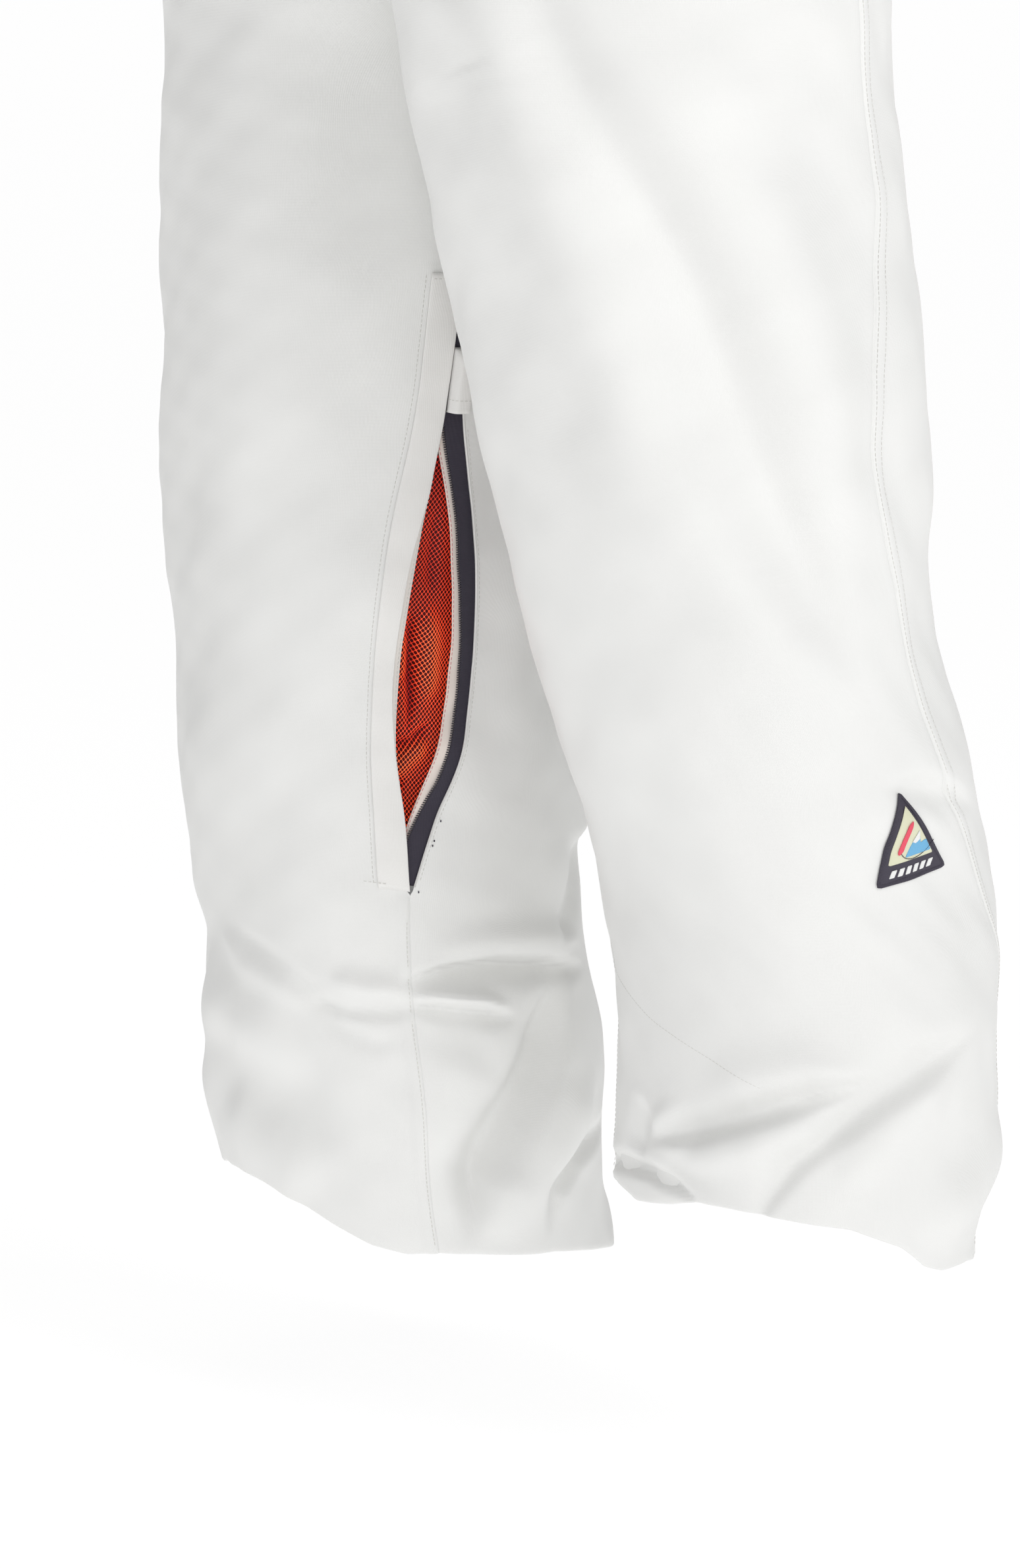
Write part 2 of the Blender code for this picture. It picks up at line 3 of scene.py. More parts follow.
import bpy
import numpy as np
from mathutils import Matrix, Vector


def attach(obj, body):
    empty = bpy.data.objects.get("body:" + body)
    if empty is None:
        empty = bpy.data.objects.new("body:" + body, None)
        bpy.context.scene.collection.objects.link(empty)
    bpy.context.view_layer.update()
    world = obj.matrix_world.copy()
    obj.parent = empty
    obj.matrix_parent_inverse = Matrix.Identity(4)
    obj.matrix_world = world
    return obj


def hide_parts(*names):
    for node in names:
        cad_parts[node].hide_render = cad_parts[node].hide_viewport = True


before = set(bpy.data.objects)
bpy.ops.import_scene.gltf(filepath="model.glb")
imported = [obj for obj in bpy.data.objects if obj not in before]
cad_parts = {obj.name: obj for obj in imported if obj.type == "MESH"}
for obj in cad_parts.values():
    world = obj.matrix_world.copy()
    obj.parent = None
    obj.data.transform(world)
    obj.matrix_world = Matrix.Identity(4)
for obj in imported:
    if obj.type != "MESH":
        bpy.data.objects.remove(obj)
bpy.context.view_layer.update()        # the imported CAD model: every piece here is fitted to its bodies

# Looks of a pair of white ski pants as worn. A place on the cloth is (side, u, w):
# side 1 for the wearer's left and -1 for the right; u degrees round the leg, 0 at the
# outseam, 90 in front, 180 at the inseam; w is -1 at the waist, 0 at the crotch, 1 at the hem.

# ---- the garment's own sizes, the same as the CAD model's (metres, degrees) ----
CROTCH_Z = -0.345
BAND_HEIGHT = 0.050      # waistband
CENTRE_U = 157.0         # the centre seams lie this far round each leg, before and behind
BRIDGE = 180 - CENTRE_U  # the strip from a centre seam to the inseam, which only the legs have
CENTRE_GAP = 0.0004      # half the gap between the halves at the centre seams
THIGH_SOFTNESS = 0.004   # how softly the inner thigh bends away from the centre plane
LEG_BLEND_TOP = -0.20    # from here down to the crotch the hips blend into the legs
# level, half width, half depth, centre y of the hips
HIPS = (
    (0.000, .152, .116, .000), (-.050, .156, .119, .001), (-.120, .178, .136, .004),
    (-.200, .205, .154, .008), (-.280, .228, .163, .006), (-.345, .240, .160, .000),
    (-.400, .240, .160, .000))
# level, centre x, centre y, half width, half depth, how far the outseam turns back
LEG = {
    1: ((-.345, .117, -.024, .125, .137, 4), (-.400, .123, -.022, .118, .134, 8),
        (-.460, .126, -.013, .118, .130, 11), (-.530, .130, .000, .119, .126, 8),
        (-.600, .133, .011, .117, .120, 6), (-.655, .135, .018, .111, .112, 12),
        (-.710, .137, .031, .109, .109, 15), (-.765, .139, .050, .109, .109, 15),
        (-.820, .142, .065, .105, .105, 26), (-.875, .144, .074, .105, .105, 42),
        (-.930, .146, .075, .104, .104, 50), (-.985, .148, .070, .102, .102, 52),
        (-1.03, .150, .068, .095, .095, 52)),
    -1: ((-.345, .117, .006, .125, .137, 0), (-.400, .123, .006, .118, .134, 4),
         (-.470, .125, -.002, .118, .130, 8), (-.550, .127, -.007, .118, .124, 11),
         (-.620, .130, -.008, .118, .119, 15), (-.680, .131, -.010, .115, .115, 18),
         (-.736, .133, -.007, .112, .112, 22), (-.793, .134, -.002, .111, .111, 27),
         (-.851, .136, .005, .111, .111, 31), (-.910, .138, .013, .113, .113, 33),
         (-.970, .139, .022, .115, .115, 33), (-1.03, .141, .029, .111, .111, 33),
         (-1.08, .142, .039, .107, .107, 33))}
# hem: mid height, lift of its high side, where the high side points
HEM = {1: (-1.014, .024, 108.0), -1: (-1.060, .023, 57.0)}
# how far the outseam alone swings back over the hip and thigh: level, degrees
LAG = ((-1, 0), (-.30, 5), (0, 15), (.12, 13), (.30, 3), (.45, 0))
# thigh vent: level, stitched and free edge of the storm placket, edge of the back panel
VENT = ((.22, 166, 174.5, 177), (.34, 166, 174, 180), (.42, 163.5, 172, 188.5),
        (.53, 164, 171.5, 194.5), (.60, 166, 173.5, 192.5), (.65, 168.5, 177.5, 186.5),
        (.71, 171, 180, 180.4))
# knee dart seam: angle round the leg, level
KNEE = ((0, .93), (60, .915), (106, .89), (140, .855), (160, .83), (180, .80))
YOKE_W = -0.62           # seat yoke seam

# ---- what the looks add ----
SIDES = ((1, "left"), (-1, "right"))
BADGE = ((43, .709), (14, .687), (19.5, .627))     # calf badge: two corners at its foot, then the top
LEG_RADIUS = 0.112       # turns an angle round the leg into metres of cloth
LEG_LENGTH = 0.700       # turns a level into metres of cloth
DEGREES_PER_METRE = math.degrees(1 / LEG_RADIUS)
WAIST_UNIT = 370.0       # degrees round the waist in a metre
CELL = 0.0027      # size of the shell's mesh cells
SEAM_STEPS = np.array([.0003, .0008, .0014, .0030, .0068, .0086, .0105])     # columns beside a seam
SHELL_DEPTH = .0009      # thickness of the laminate
STITCH_PITCH, STITCH, STITCH_RADIUS = .0027, .0019, .00019
COIL_PITCH = .00135      # one turn of a zip's coil
ON_CLOTH = .0001         # how far the middle of a stitch stands off its cloth
COIL_TOP = .0024         # how far the pocket and fly coils stand off the shell
# how far the back and front faces of the layers lie off the shell's outer face
PLACKET_BACK, PLACKET_FRONT = .0004, .0017
VENT_TAPE = (-.0021, -.0013)
POCKET_BAG = (-.0052, -.0042)
WELT = (.0004, .0028)
BELT_LOOPS = (38, 108, 163, 197, 252, 322)      # degrees round the waist
BADGE_BARS = 6
NET_ACROSS, NET_DOWN = .0026, .0030      # pitch of the vent net's holes
NET_FOLDS = (
    # width, height, skew, then (u, w) points
    (.0034, -.0052, 0.0, (173.5, .480), (174.6, .515), (176.5, .545), (177.5, .562), (177, .592)),
    (.0070, .0050, 0.0, (178, .475), (181, .515), (182.3, .545), (181, .565)),
    (.0040, .0035, 0.0, (172.7, .500), (172.8, .527), (172.3, .548)),
    (.0034, -.0036, 0.3, (171, .590), (175, .593), (178.5, .590), (181.5, .581), (185, .572)),
    (.0060, .0050, 0.0, (172, .622), (176, .610), (180, .598), (184, .586)),
    (.0045, -.0040, 0.0, (171, .626), (174, .628), (178, .624)),
    (.0040, -.0025, 0.0, (176, .400), (177, .440), (180, .480)),
)

# ---- the studio ----
FLOOR_Z = -1.17          # where the soles of the boots would stand
FLOOR_REACH = 60
FLOOR_GLOW = .86
SKY = ((.10, 1.0), (.36, .25))           # bright at the horizon, dark overhead: position, value
# name, azimuth, elevation, distance, size, power
LIGHTS = (("key", 92, 36, 3.4, 1.8, 32), ("side", 20, 20, 3.4, 1.8, 2), ("fill", 48, 4, 3.4, 1.2, 9))
AIM = Vector((-.0071, -.0084, -.7914))
CAMERA_AZIMUTH, CAMERA_ELEVATION = 50.0, 9.5
CAMERA_DISTANCE, CAMERA_LENS = 3.2, 133.1


# ---- the garment surface ----
def smooth_table(table, z):
    """Values of a table at the levels z, joined by smooth cubic curves."""
    rows = np.array(table, float)
    rows = rows[np.argsort(rows[:, 0])]
    x, y = rows[:, 0], rows[:, 1:]
    slope = np.gradient(y, x, axis=0)
    z = np.clip(z, x[0], x[-1])
    k = np.clip(np.searchsorted(x, z, side="right") - 1, 0, len(x) - 2)
    h = (x[k + 1] - x[k])[..., None]
    s = (z - x[k])[..., None] / h
    return ((2 * s**3 - 3 * s**2 + 1) * y[k] + (s**3 - 2 * s**2 + s) * slope[k] * h
            + (3 * s**2 - 2 * s**3) * y[k + 1] + (s**3 - s**2) * slope[k + 1] * h)


def point(side, u, w):
    """World position of places on the plain surface: the hips, blended into the legs."""
    u, w = np.broadcast_arrays(np.asarray(u, float), np.asarray(w, float))
    mid, lift, high = HEM[side]
    level = np.where(w < 0, CROTCH_Z, CROTCH_Z + (mid - CROTCH_Z) * w)
    turn = smooth_table(LEG[side], level)[..., 4]
    hem = mid + lift * np.cos(np.radians(u - turn - high))
    z = np.where(w < 0, CROTCH_Z * (1 + w), CROTCH_Z + (hem - CROTCH_Z) * w)
    leg = smooth_table(LEG[side], z)
    round_u = np.clip(np.abs((u + 180) % 360 - 180), 0, 60)
    lag = np.interp(w, *np.transpose(LAG)) * np.cos(np.radians(1.5 * round_u))**2
    angle = np.radians(u - leg[..., 4] - lag)
    leg_x = leg[..., 0] + leg[..., 2] * np.cos(angle)
    leg_y = leg[..., 1] - leg[..., 3] * np.sin(angle)
    leg_x = CENTRE_GAP + THIGH_SOFTNESS * np.logaddexp(0, (leg_x - CENTRE_GAP) / THIGH_SOFTNESS)
    hips = smooth_table(HIPS, z)
    turn_in = np.radians(np.clip((CENTRE_U - np.abs(u)) / CENTRE_U, 0, 1) * 90)
    front = np.where(u < 0, -1, 1)
    hip_x = hips[..., 0] * np.sin(turn_in) + CENTRE_GAP
    hip_y = hips[..., 2] - front * hips[..., 1] * np.cos(turn_in)
    t = np.clip((LEG_BLEND_TOP - z) / (LEG_BLEND_TOP - CROTCH_Z), 0, 1)
    k = np.where(w >= 0, 1.0, t * t * (3 - 2 * t))
    return np.stack([side * (hip_x + (leg_x - hip_x) * k), hip_y + (leg_y - hip_y) * k, z], -1)


def normal(side, u, w):
    """Outward direction of the plain surface."""
    du, dw = 0.5, 0.002
    w = np.where(np.abs(w) < dw, np.where(w < 0, -dw, dw), w)
    across = point(side, u + du, w) - point(side, u - du, w)
    down = point(side, u, w + dw) - point(side, u, w - dw)
    n = np.cross(across, down) * side
    return n / np.maximum(np.linalg.norm(n, axis=-1, keepdims=True), 1e-12)


def waist(theta, z, offset):
    """A place on the waistband: theta is 0 at the centre front, 90 at the wearer's left."""
    theta, z, offset = np.broadcast_arrays(np.radians(theta), np.asarray(z, float),
                                           np.asarray(offset, float))
    hips = smooth_table(HIPS, z)
    x, y = hips[..., 0] * np.sin(theta), hips[..., 2] - hips[..., 1] * np.cos(theta)
    n = np.stack([np.sin(theta) / hips[..., 0], -np.cos(theta) / hips[..., 1]], -1)
    n = n / np.linalg.norm(n, axis=-1, keepdims=True)
    return np.stack([x + n[..., 0] * offset, y + n[..., 1] * offset, z], -1)


# ---- folds ----
# Each fold: (width, height) in metres, how much steeper its right-hand side is (0 to 0.9),
# then its line over the cloth as (u, w) points. A negative height is a valley.
FOLDS = {
    1: (
        # long drapes from the hip down to the calf
        (.042, .0100, 0.0, (96, -.02), (80, .06), (78, .15), (67, .29), (54, .40), (47, .50),
         (38, .58)),
        (.034, -.0085, 0.0, (106, -.02), (97, .09), (92, .22), (84, .32), (78, .42)),
        (.036, -.0165, 0.35, (25, .56), (29, .45), (36, .35), (46, .25), (57, .16), (65, .07),
         (72, -.05)),
        (.028, .0070, 0.0, (46, -.03), (40, .08), (31, .18), (19, .28), (9, .38)),
        (.026, -.0045, 0.0, (22, .10), (10, .24), (-4, .36), (-18, .45)),
        # crumple over the boot
        (.010, -.0095, 0.55, (153, .966), (141, .952), (124, .935), (107, .911), (91, .889),
         (68, .866)),
        (.013, .0060, 0.2, (140, .972), (122, .954), (106, .934), (90, .912), (80, .900)),
        (.014, .0024, 0.0, (128, .906), (108, .884), (92, .868), (74, .860)),
        (.013, -.0075, 0.6, (112, 1.02), (105, .980), (97.5, .946), (88, .920), (71, .881),
         (54, .850), (30, .815)),
        (.016, .0060, 0.1, (86, .960), (76, .925), (60, .880), (44, .845)),
        (.012, -.0045, 0.2, (150, .925), (156, .955), (160, .985)),
        (.016, .0030, 0.0, (145, .925), (139, .945), (132, .968)),
        (.0055, -.0060, 0.3, (192, .996), (165, .990), (150, .987), (138, .990), (124, 1.002)),
        (.020, .0060, 0.0, (60, .985), (36, .960), (14, .925), (0, .880)),
        (.010, -.0035, 0.4, (-14, .640), (6, .622), (26, .628)),
        (.016, .0035, 0.0, (4, .655), (20, .648), (40, .660)),
    ),
    -1: (
        # front and side drapes
        (.040, .0060, 0.0, (120, -.02), (112, .12), (112, .30), (118, .45)),
        (.034, -.0060, 0.0, (150, -.02), (146, .08), (148, .18), (152, .26)),
        (.050, -.0045, 0.0, (92, .05), (88, .25), (86, .50), (92, .70)),
        (.024, -.0050, 0.0, (-172, .30), (-166, .43), (-159, .52), (-158, .62)),
        (.022, .0045, 0.0, (-150, .34), (-148, .48), (-146, .60)),
        # crumples at the boot top: behind the inseam
        (.0090, -.0120, 0.65, (-186, .784), (-171, .768), (-152, .759), (-134, .760), (-108, .769)),
        (.010, .0050, 0.2, (-108, .747), (-137, .740), (-156, .741), (-176, .755)),
        (.0065, .0060, 0.3, (-183, .793), (-172, .788), (-161, .788), (-150, .794)),
        (.0065, -.0060, 0.4, (-183, .801), (-172, .799), (-161, .799), (-148, .803)),
        (.018, .0040, 0.0, (-166, .815), (-174, .870), (-182, .930)),
        # and in front of it
        (.0060, -.0040, 0.3, (182, .802), (170, .809), (160, .814), (148, .812)),
        (.0080, .0040, 0.2, (181, .786), (168, .790), (155, .790)),
        (.0080, -.0030, 0.2, (120, .765), (140, .785), (151, .803), (157, .826), (167, .836),
         (179, .826)),
        (.010, .0035, 0.0, (112, .775), (128, .795), (142, .803), (152, .820)),
        # diagonals down to the hem
        (.016, -.0190, 0.5, (-122, .755), (-135, .812), (-144, .850), (-154, .888), (-165, .935),
         (-171, 1.00)),
        (.019, .0075, 0.0, (-116, .845), (-127, .875), (-140, .906), (-153, .942), (-164, .990)),
        (.009, -.0070, 0.5, (-96, .898), (-125, .920), (-138, .944), (-143, .985)),
        (.045, -.0060, 0.0, (84, .74), (85, .82), (88, .93)),
        (.014, .0050, 0.0, (-80, .960), (-96, .990), (-112, 1.02)),
        (.012, -.0050, 0.4, (-96, .660), (-108, .707), (-128, .752)),
        (.022, .0080, 0.0, (-101, .600), (-101, .640), (-100, .682)),
        (.026, -.0055, 0.0, (100, .860), (120, .885), (140, .898), (160, .925)),
        (.024, .0050, 0.0, (108, .930), (128, .945), (150, .965)),
        (.024, .0050, 0.0, (84, .850), (104, .842), (128, .852), (150, .868)),
    ),
}


def fold_height(fold, u, w):
    """Height of one fold at places of the cloth."""
    width, height, skew = fold[:3]
    line = np.array(fold[3:], float)
    middle = line[len(line) // 2, 0]
    x = np.radians((u - middle + 180) % 360 - 180) * LEG_RADIUS
    y = w * LEG_LENGTH
    px, py = np.radians(line[:, 0] - middle) * LEG_RADIUS, line[:, 1] * LEG_LENGTH
    lengths = np.hypot(np.diff(px), np.diff(py))
    start = np.concatenate([[0], np.cumsum(lengths)])
    best = np.full(np.shape(x), 1e9)
    where, side_of = np.zeros(np.shape(x)), np.zeros(np.shape(x))
    for i, length in enumerate(lengths):
        dx, dy = (px[i + 1] - px[i]) / length, (py[i + 1] - py[i]) / length
        t = np.clip((x - px[i]) * dx + (y - py[i]) * dy, 0, length)
        gap = np.hypot(x - px[i] - dx * t, y - py[i] - dy * t)
        closer = gap < best
        best = np.where(closer, gap, best)
        where = np.where(closer, start[i] + t, where)
        side_of = np.where(closer, (x - px[i]) * dy - (y - py[i]) * dx, side_of)
    share = where / start[-1]
    taper = np.clip(np.minimum(share, 1 - share) / 0.30, 0, 1)
    taper = taper * taper * (3 - 2 * taper)
    wide = width * np.where(side_of > 0, 1 - skew, 1.0) * (0.45 + 0.55 * taper)
    # a rounded fold, with the cloth beside it drawn slightly the other way
    fold_itself, beside = np.exp(-(best / wide)**2), np.exp(-(best / (2.2 * wide))**2)
    return height * taper * (1.2 * fold_itself - 0.2 * beside)


def ripples(side, u, w):
    """Fine unevenness of the laminate, a sum of slow waves."""
    draw = np.random.default_rng(11 if side > 0 else 12)
    x, y = np.radians(u) * LEG_RADIUS, w * LEG_LENGTH
    total = 0.0
    for scale, size in ((.16, .0016), (.09, .0008), (.05, .0005), (.026, .00016)):
        for _ in range(5):
            heading, phase = draw.uniform(0, 2 * math.pi), draw.uniform(0, 2 * math.pi)
            around = max(1, round(2 * math.pi * LEG_RADIUS / scale * abs(math.cos(heading))))
            run = np.radians(u) * around + y * 2 * math.pi / scale * math.sin(heading)
            total = total + size / 2.2 * np.sin(run + phase)
    return total


def seam_profile(d):
    """Raised seam allowance on one side of a stitched seam, with a fine groove at the seam."""
    groove = -.0010 * np.exp(-(d / .0009)**2) + .0004 * np.exp(-((np.abs(d) - .003) / .002)**2)
    ledge = .0006 * np.clip((d + .0004) / .0008, 0, 1) * np.clip((.0085 - d) / .0016, 0, 1)
    return groove + ledge


# How much longer than the plain cut the draped hem hangs, by angle round the leg
HEM_DRAPE = {
    1: ((0, .006), (20, .0045), (40, .0115), (50, .0095), (62, -.004), (80, -.0118), (100, -.0094),
        (120, -.0052), (130, -.002), (140, .0068), (150, .0126), (160, .0166), (170, .0103),
        (180, .0053), (200, 0), (340, .003), (360, .006)),
    -1: ((0, 0), (60, 0), (90, -.009), (100, -.016), (112, -.020), (122, -.0195), (130, -.0173),
         (140, -.010), (150, 0), (160, .0078), (170, .0098), (180, .0035), (190, 0), (210, -.0037),
         (220, -.0056), (235, -.004), (260, .001), (300, 0), (360, 0)),
}


def relief(side, u, w):
    """How far the worn cloth stands off the plain surface."""
    total = ripples(side, u, w) * np.where(w < 0, np.clip(1 + w * 1.5, 0, 1), 1)
    for fold in FOLDS[side]:
        total = total + fold_height(fold, u, w)
    # under the waistband and high on the inner thigh the cloth lies flat
    turned = (u + 180) % 360 - 180
    calm = np.clip((w + .9) / .3, 0, 1)
    outer = np.clip((180 - np.abs(turned)) / 14, 0, 1)
    free = np.clip((w - .30) / .15, 0, 1)
    total = total * calm * (outer + (1 - outer) * free)
    # the seams: the inseam of the open right vent starts at the vent's foot
    inseam_top = .712 if side < 0 else .01
    inseam = np.where(w > inseam_top, seam_profile(np.radians(180 - turned) * LEG_RADIUS), 0)
    return total + seam_profile(-np.radians(turned) * LEG_RADIUS) + np.where(turned > 0, inseam, 0)


def place(side, u, w, offset):
    """World position of places on the worn cloth, lifted off it by an offset."""
    u, w, offset = np.broadcast_arrays(np.asarray(u, float), np.asarray(w, float),
                                       np.asarray(offset, float))
    near_hem = np.clip((w - .90) / .10, 0, 1)**1.5
    w = w + np.interp(u % 360, *np.transpose(HEM_DRAPE[side])) * near_hem
    return point(side, u, w) + normal(side, u, w) * (offset + relief(side, u, w))[..., None]


# ---- meshes ----
def build(name, points, faces, paint):
    """A smooth-shaded mesh object in the scene."""
    mesh = bpy.data.meshes.new(name)
    points = np.asarray(points, float).reshape(-1, 3)
    mesh.from_pydata(points.tolist(), [], [list(map(int, f)) for f in faces])
    mesh.polygons.foreach_set("use_smooth", [True] * len(mesh.polygons))
    mesh.materials.append(paint)
    mesh.update()
    made = bpy.data.objects.new(name, mesh)
    bpy.context.scene.collection.objects.link(made)
    return made


def grid_faces(rows, columns, ring=False):
    """The quads of a grid of points; a ring's last column joins its first."""
    r, c = np.meshgrid(np.arange(rows - 1), np.arange(columns if ring else columns - 1),
                       indexing="ij")
    d = (c + 1) % columns
    return np.stack([r * columns + c, r * columns + d, (r + 1) * columns + d,
                     (r + 1) * columns + c], -1).reshape(-1, 4)


def thicken(piece, depth, offset=-1.0):
    """Give a sheet its thickness: inwards, or with offset 0 to both sides."""
    solid = piece.modifiers.new("cloth thickness", "SOLIDIFY")
    solid.thickness, solid.offset = depth, offset
    solid.use_even_offset = False
    return piece


def spread(first, last, step):
    """Even numbers from first to last, about a step apart."""
    return np.linspace(first, last, max(2, round(abs(last - first) / step) + 1))


def shell_columns():
    """Angles of the shell's columns, close together beside the seams."""
    close = np.degrees(SEAM_STEPS / LEG_RADIUS)
    plain = spread(-180, 180, math.degrees(CELL / LEG_RADIUS))
    far = np.abs(plain)
    plain = plain[(far > close[-1] + .8) & (far < 180 - close[-1] - .8)]
    return np.sort(np.concatenate([plain, [0.0, -180.0, 180.0], close, -close, 180 - close,
                                   close - 180, [CENTRE_U, -CENTRE_U]]))


def vent_line(column, w):
    """One line of the vent as a smooth curve: 1 stitched edge, 2 free edge, 3 back edge."""
    return smooth_table(VENT, np.asarray(w, float))[..., column - 1]


def vent_edges(w):
    """Where the open vent's two cloth edges lie: front edge and back edge, in degrees."""
    inside = (w > VENT[0][0]) & (w < VENT[-1][0])
    front = np.where(inside, vent_line(2, w) - 1.0, 180.0)
    back = np.where(inside, vent_line(3, w), 180.0)
    return np.minimum(front, 180), 360 - np.maximum(back, 180.0)


def shell(name, side, paint):
    """One half of the garment in a single sheet: hip, leg, turned-in hem."""
    columns = shell_columns()
    top_w = -1 + (BAND_HEIGHT - .004) / -CROTCH_Z
    upper = spread(top_w, 0, CELL * 1.5 / -CROTCH_Z)[:-1]
    lower = spread(0, 1, CELL / LEG_LENGTH)
    turn_w = np.array([1.0012, 1.0018, 1.0016, 1.0008, .990, .975, .962])
    turn_in = np.array([-.0004, -.0010, -.0018, -.0025, -.0029, -.0030, -.0030])
    w = np.concatenate([upper, lower, turn_w])
    tucked = np.clip((BAND_HEIGHT + .012 - (1 + upper) * -CROTCH_Z) / .010, 0, 1)
    inset = np.concatenate([-.0012 * tucked, np.zeros(len(lower)), turn_in])
    u = np.tile(columns, (len(w), 1))
    if side < 0:
        front, back = vent_edges(w)
        share = np.clip((np.abs(u) - CENTRE_U) / BRIDGE, 0, 1)
        edge = np.where(u > 0, front[:, None], back[:, None])
        moved = np.sign(u) * (CENTRE_U + (edge - CENTRE_U) * share)
        u = np.where(np.abs(u) > CENTRE_U, moved, u)
    points = place(side, u, w[:, None], inset[:, None])
    middle = np.abs(np.abs(columns) - CENTRE_U) < .01
    points[:len(upper), middle, 0] = side * .00005      # the halves meet at the centre seams
    count = len(columns)
    index = np.arange(len(w) * count).reshape(len(w), count)
    opened = (w > VENT[0][0]) & (w < VENT[-1][0]) if side < 0 else np.zeros(len(w), bool)
    index[~opened, -1] = index[~opened, 0]
    quads = np.stack([index[:-1, :-1], index[:-1, 1:], index[1:, 1:], index[1:, :-1]], -1)
    outside = np.maximum(np.abs(columns[:-1]), np.abs(columns[1:])) > CENTRE_U + .01
    keep = ~((w[:-1] < -1e-9)[:, None] & outside[None, :])
    quads = quads[keep].reshape(-1, 4)
    used, faces = np.unique(quads, return_inverse=True)
    faces = faces.reshape(-1, 4)
    if side < 0:
        faces = faces[:, ::-1]
    made = build(name, points.reshape(-1, 3)[used], faces, paint)
    return thicken(made, SHELL_DEPTH)


# ---- trim: bands of folded cloth, stitches and zip teeth ----
def facing_out(points, faces):
    """The same faces, turned if need be so that the closed surface faces outwards."""
    middle = points.mean(0)
    volume = sum(np.dot(points[f[0]] - middle,
                        np.cross(points[f[k]] - middle, points[f[k + 1]] - middle))
                 for f in faces for k in range(1, len(f) - 1))
    return [tuple(f)[::-1] for f in faces] if volume < 0 else faces


def band(name, put, run, first, last, low, high, paint, unit=DEGREES_PER_METRE, columns=8,
         closed=False):
    """A flat band of cloth with rounded edges.

    put(across, run, offset) gives places; the band follows run and spans first to last
    across it, between the offsets low and high. Each may change along the band.
    """
    run = np.asarray(run, float)
    rows = len(run)
    first, last, low, high = (np.broadcast_to(np.asarray(v, float), (rows,))
                              for v in (first, last, low, high))
    half = (high - low) / 2
    inset = half * unit * np.sign(last - first)
    t = np.linspace(0, 1, columns)
    bends = np.radians((60, 30, 0, -30, -60))
    across, lift = [], []
    for shares, face, edge, way in ((t, high, last - inset, 1), (t[::-1], low, first + inset, -1)):
        for share in shares:
            across.append(first + inset + (last - first - 2 * inset) * share)
            lift.append(face)
        for bend in bends * way:
            across.append(edge + way * inset * math.cos(bend))
            lift.append((low + high) / 2 + half * math.sin(bend))
    across, lift = np.stack(across, 1), np.stack(lift, 1)
    ring = across.shape[1]
    points = put(across, np.tile(run[:, None], (1, ring)), lift).reshape(-1, 3)
    faces = grid_faces(rows, ring, ring=True).tolist()
    last_row = (rows - 1) * ring
    if closed:
        faces += [(last_row + k, last_row + (k + 1) % ring, (k + 1) % ring, k) for k in range(ring)]
    else:
        faces += [tuple(range(ring))[::-1], tuple(range(last_row, last_row + ring))]
    return build(name, points, facing_out(points, faces), paint)


def run_length(path):
    """How far along a path each of its points lies."""
    return np.concatenate([[0], np.cumsum(np.linalg.norm(np.diff(path, axis=0), axis=1))])


def read_at(s, run, *tables):
    """Rows of point or direction tables at the distance s along a run."""
    return [np.array([np.interp(s, run, table[:, k]) for k in range(3)]) for table in tables]


class Thread:
    """Collects short tapered dashes, so that many stitches become one piece."""

    def __init__(self, around=5):
        self.points, self.faces, self.around = [], [], around

    def dash(self, start, end, out, radius):
        """One dash, thick in its middle."""
        along_it = end - start
        size = np.linalg.norm(along_it)
        along_it /= size
        side_way = np.cross(along_it, out)
        side_way /= np.linalg.norm(side_way)
        up = np.cross(side_way, along_it)
        base = len(self.points) * 4 * self.around
        rings = ((0.0, .35), (.22, 1.0), (.78, 1.0), (1.0, .35))
        turns = 2 * math.pi * np.arange(self.around) / self.around
        n = self.around
        self.points.append([
            start + along_it * size * t + (side_way * math.cos(a) + up * math.sin(a)) * radius * r
            for t, r in rings for a in turns])
        self.faces += (grid_faces(len(rings), n, ring=True) + base).tolist()
        self.faces.append(tuple(base + k for k in range(n))[::-1])
        self.faces.append(tuple(base + 3 * n + k for k in range(n)))

    def along(self, path, outs, pitch=STITCH_PITCH, length=STITCH, radius=STITCH_RADIUS):
        """Stitches down a path; outs are the outward directions at its points."""
        run = run_length(path)
        for s in np.arange(pitch / 2, run[-1] - length, pitch):
            start, out = read_at(s, run, path, outs)
            end, = read_at(s + length, run, path)
            self.dash(start, end, out, radius)

    def teeth(self, path, outs, across, half, pitch, radius):
        """Zip teeth: dashes laid across a path."""
        run = run_length(path)
        for s in np.arange(pitch, run[-1], pitch):
            at, out, way = read_at(s, run, path, outs, across)
            way = way / np.linalg.norm(way)
            self.dash(at - way * half, at + way * half, out, radius)

    def made(self, name, paint):
        return build(name, np.concatenate(self.points), self.faces, paint)


def run_on_leg(side, u, w, offset):
    """A path on the cloth with its outward directions."""
    u, w = np.broadcast_arrays(np.asarray(u, float), np.asarray(w, float))
    return place(side, u, w, offset), normal(side, u, w)


# ---- materials ----
def plain_paint(name, colour, roughness, metallic=0.0):
    made = bpy.data.materials.new(name)
    made.use_nodes = True
    shader = made.node_tree.nodes["Principled BSDF"]
    shader.inputs["Base Color"].default_value = (*colour, 1)
    shader.inputs["Roughness"].default_value = roughness
    shader.inputs["Metallic"].default_value = metallic
    return made


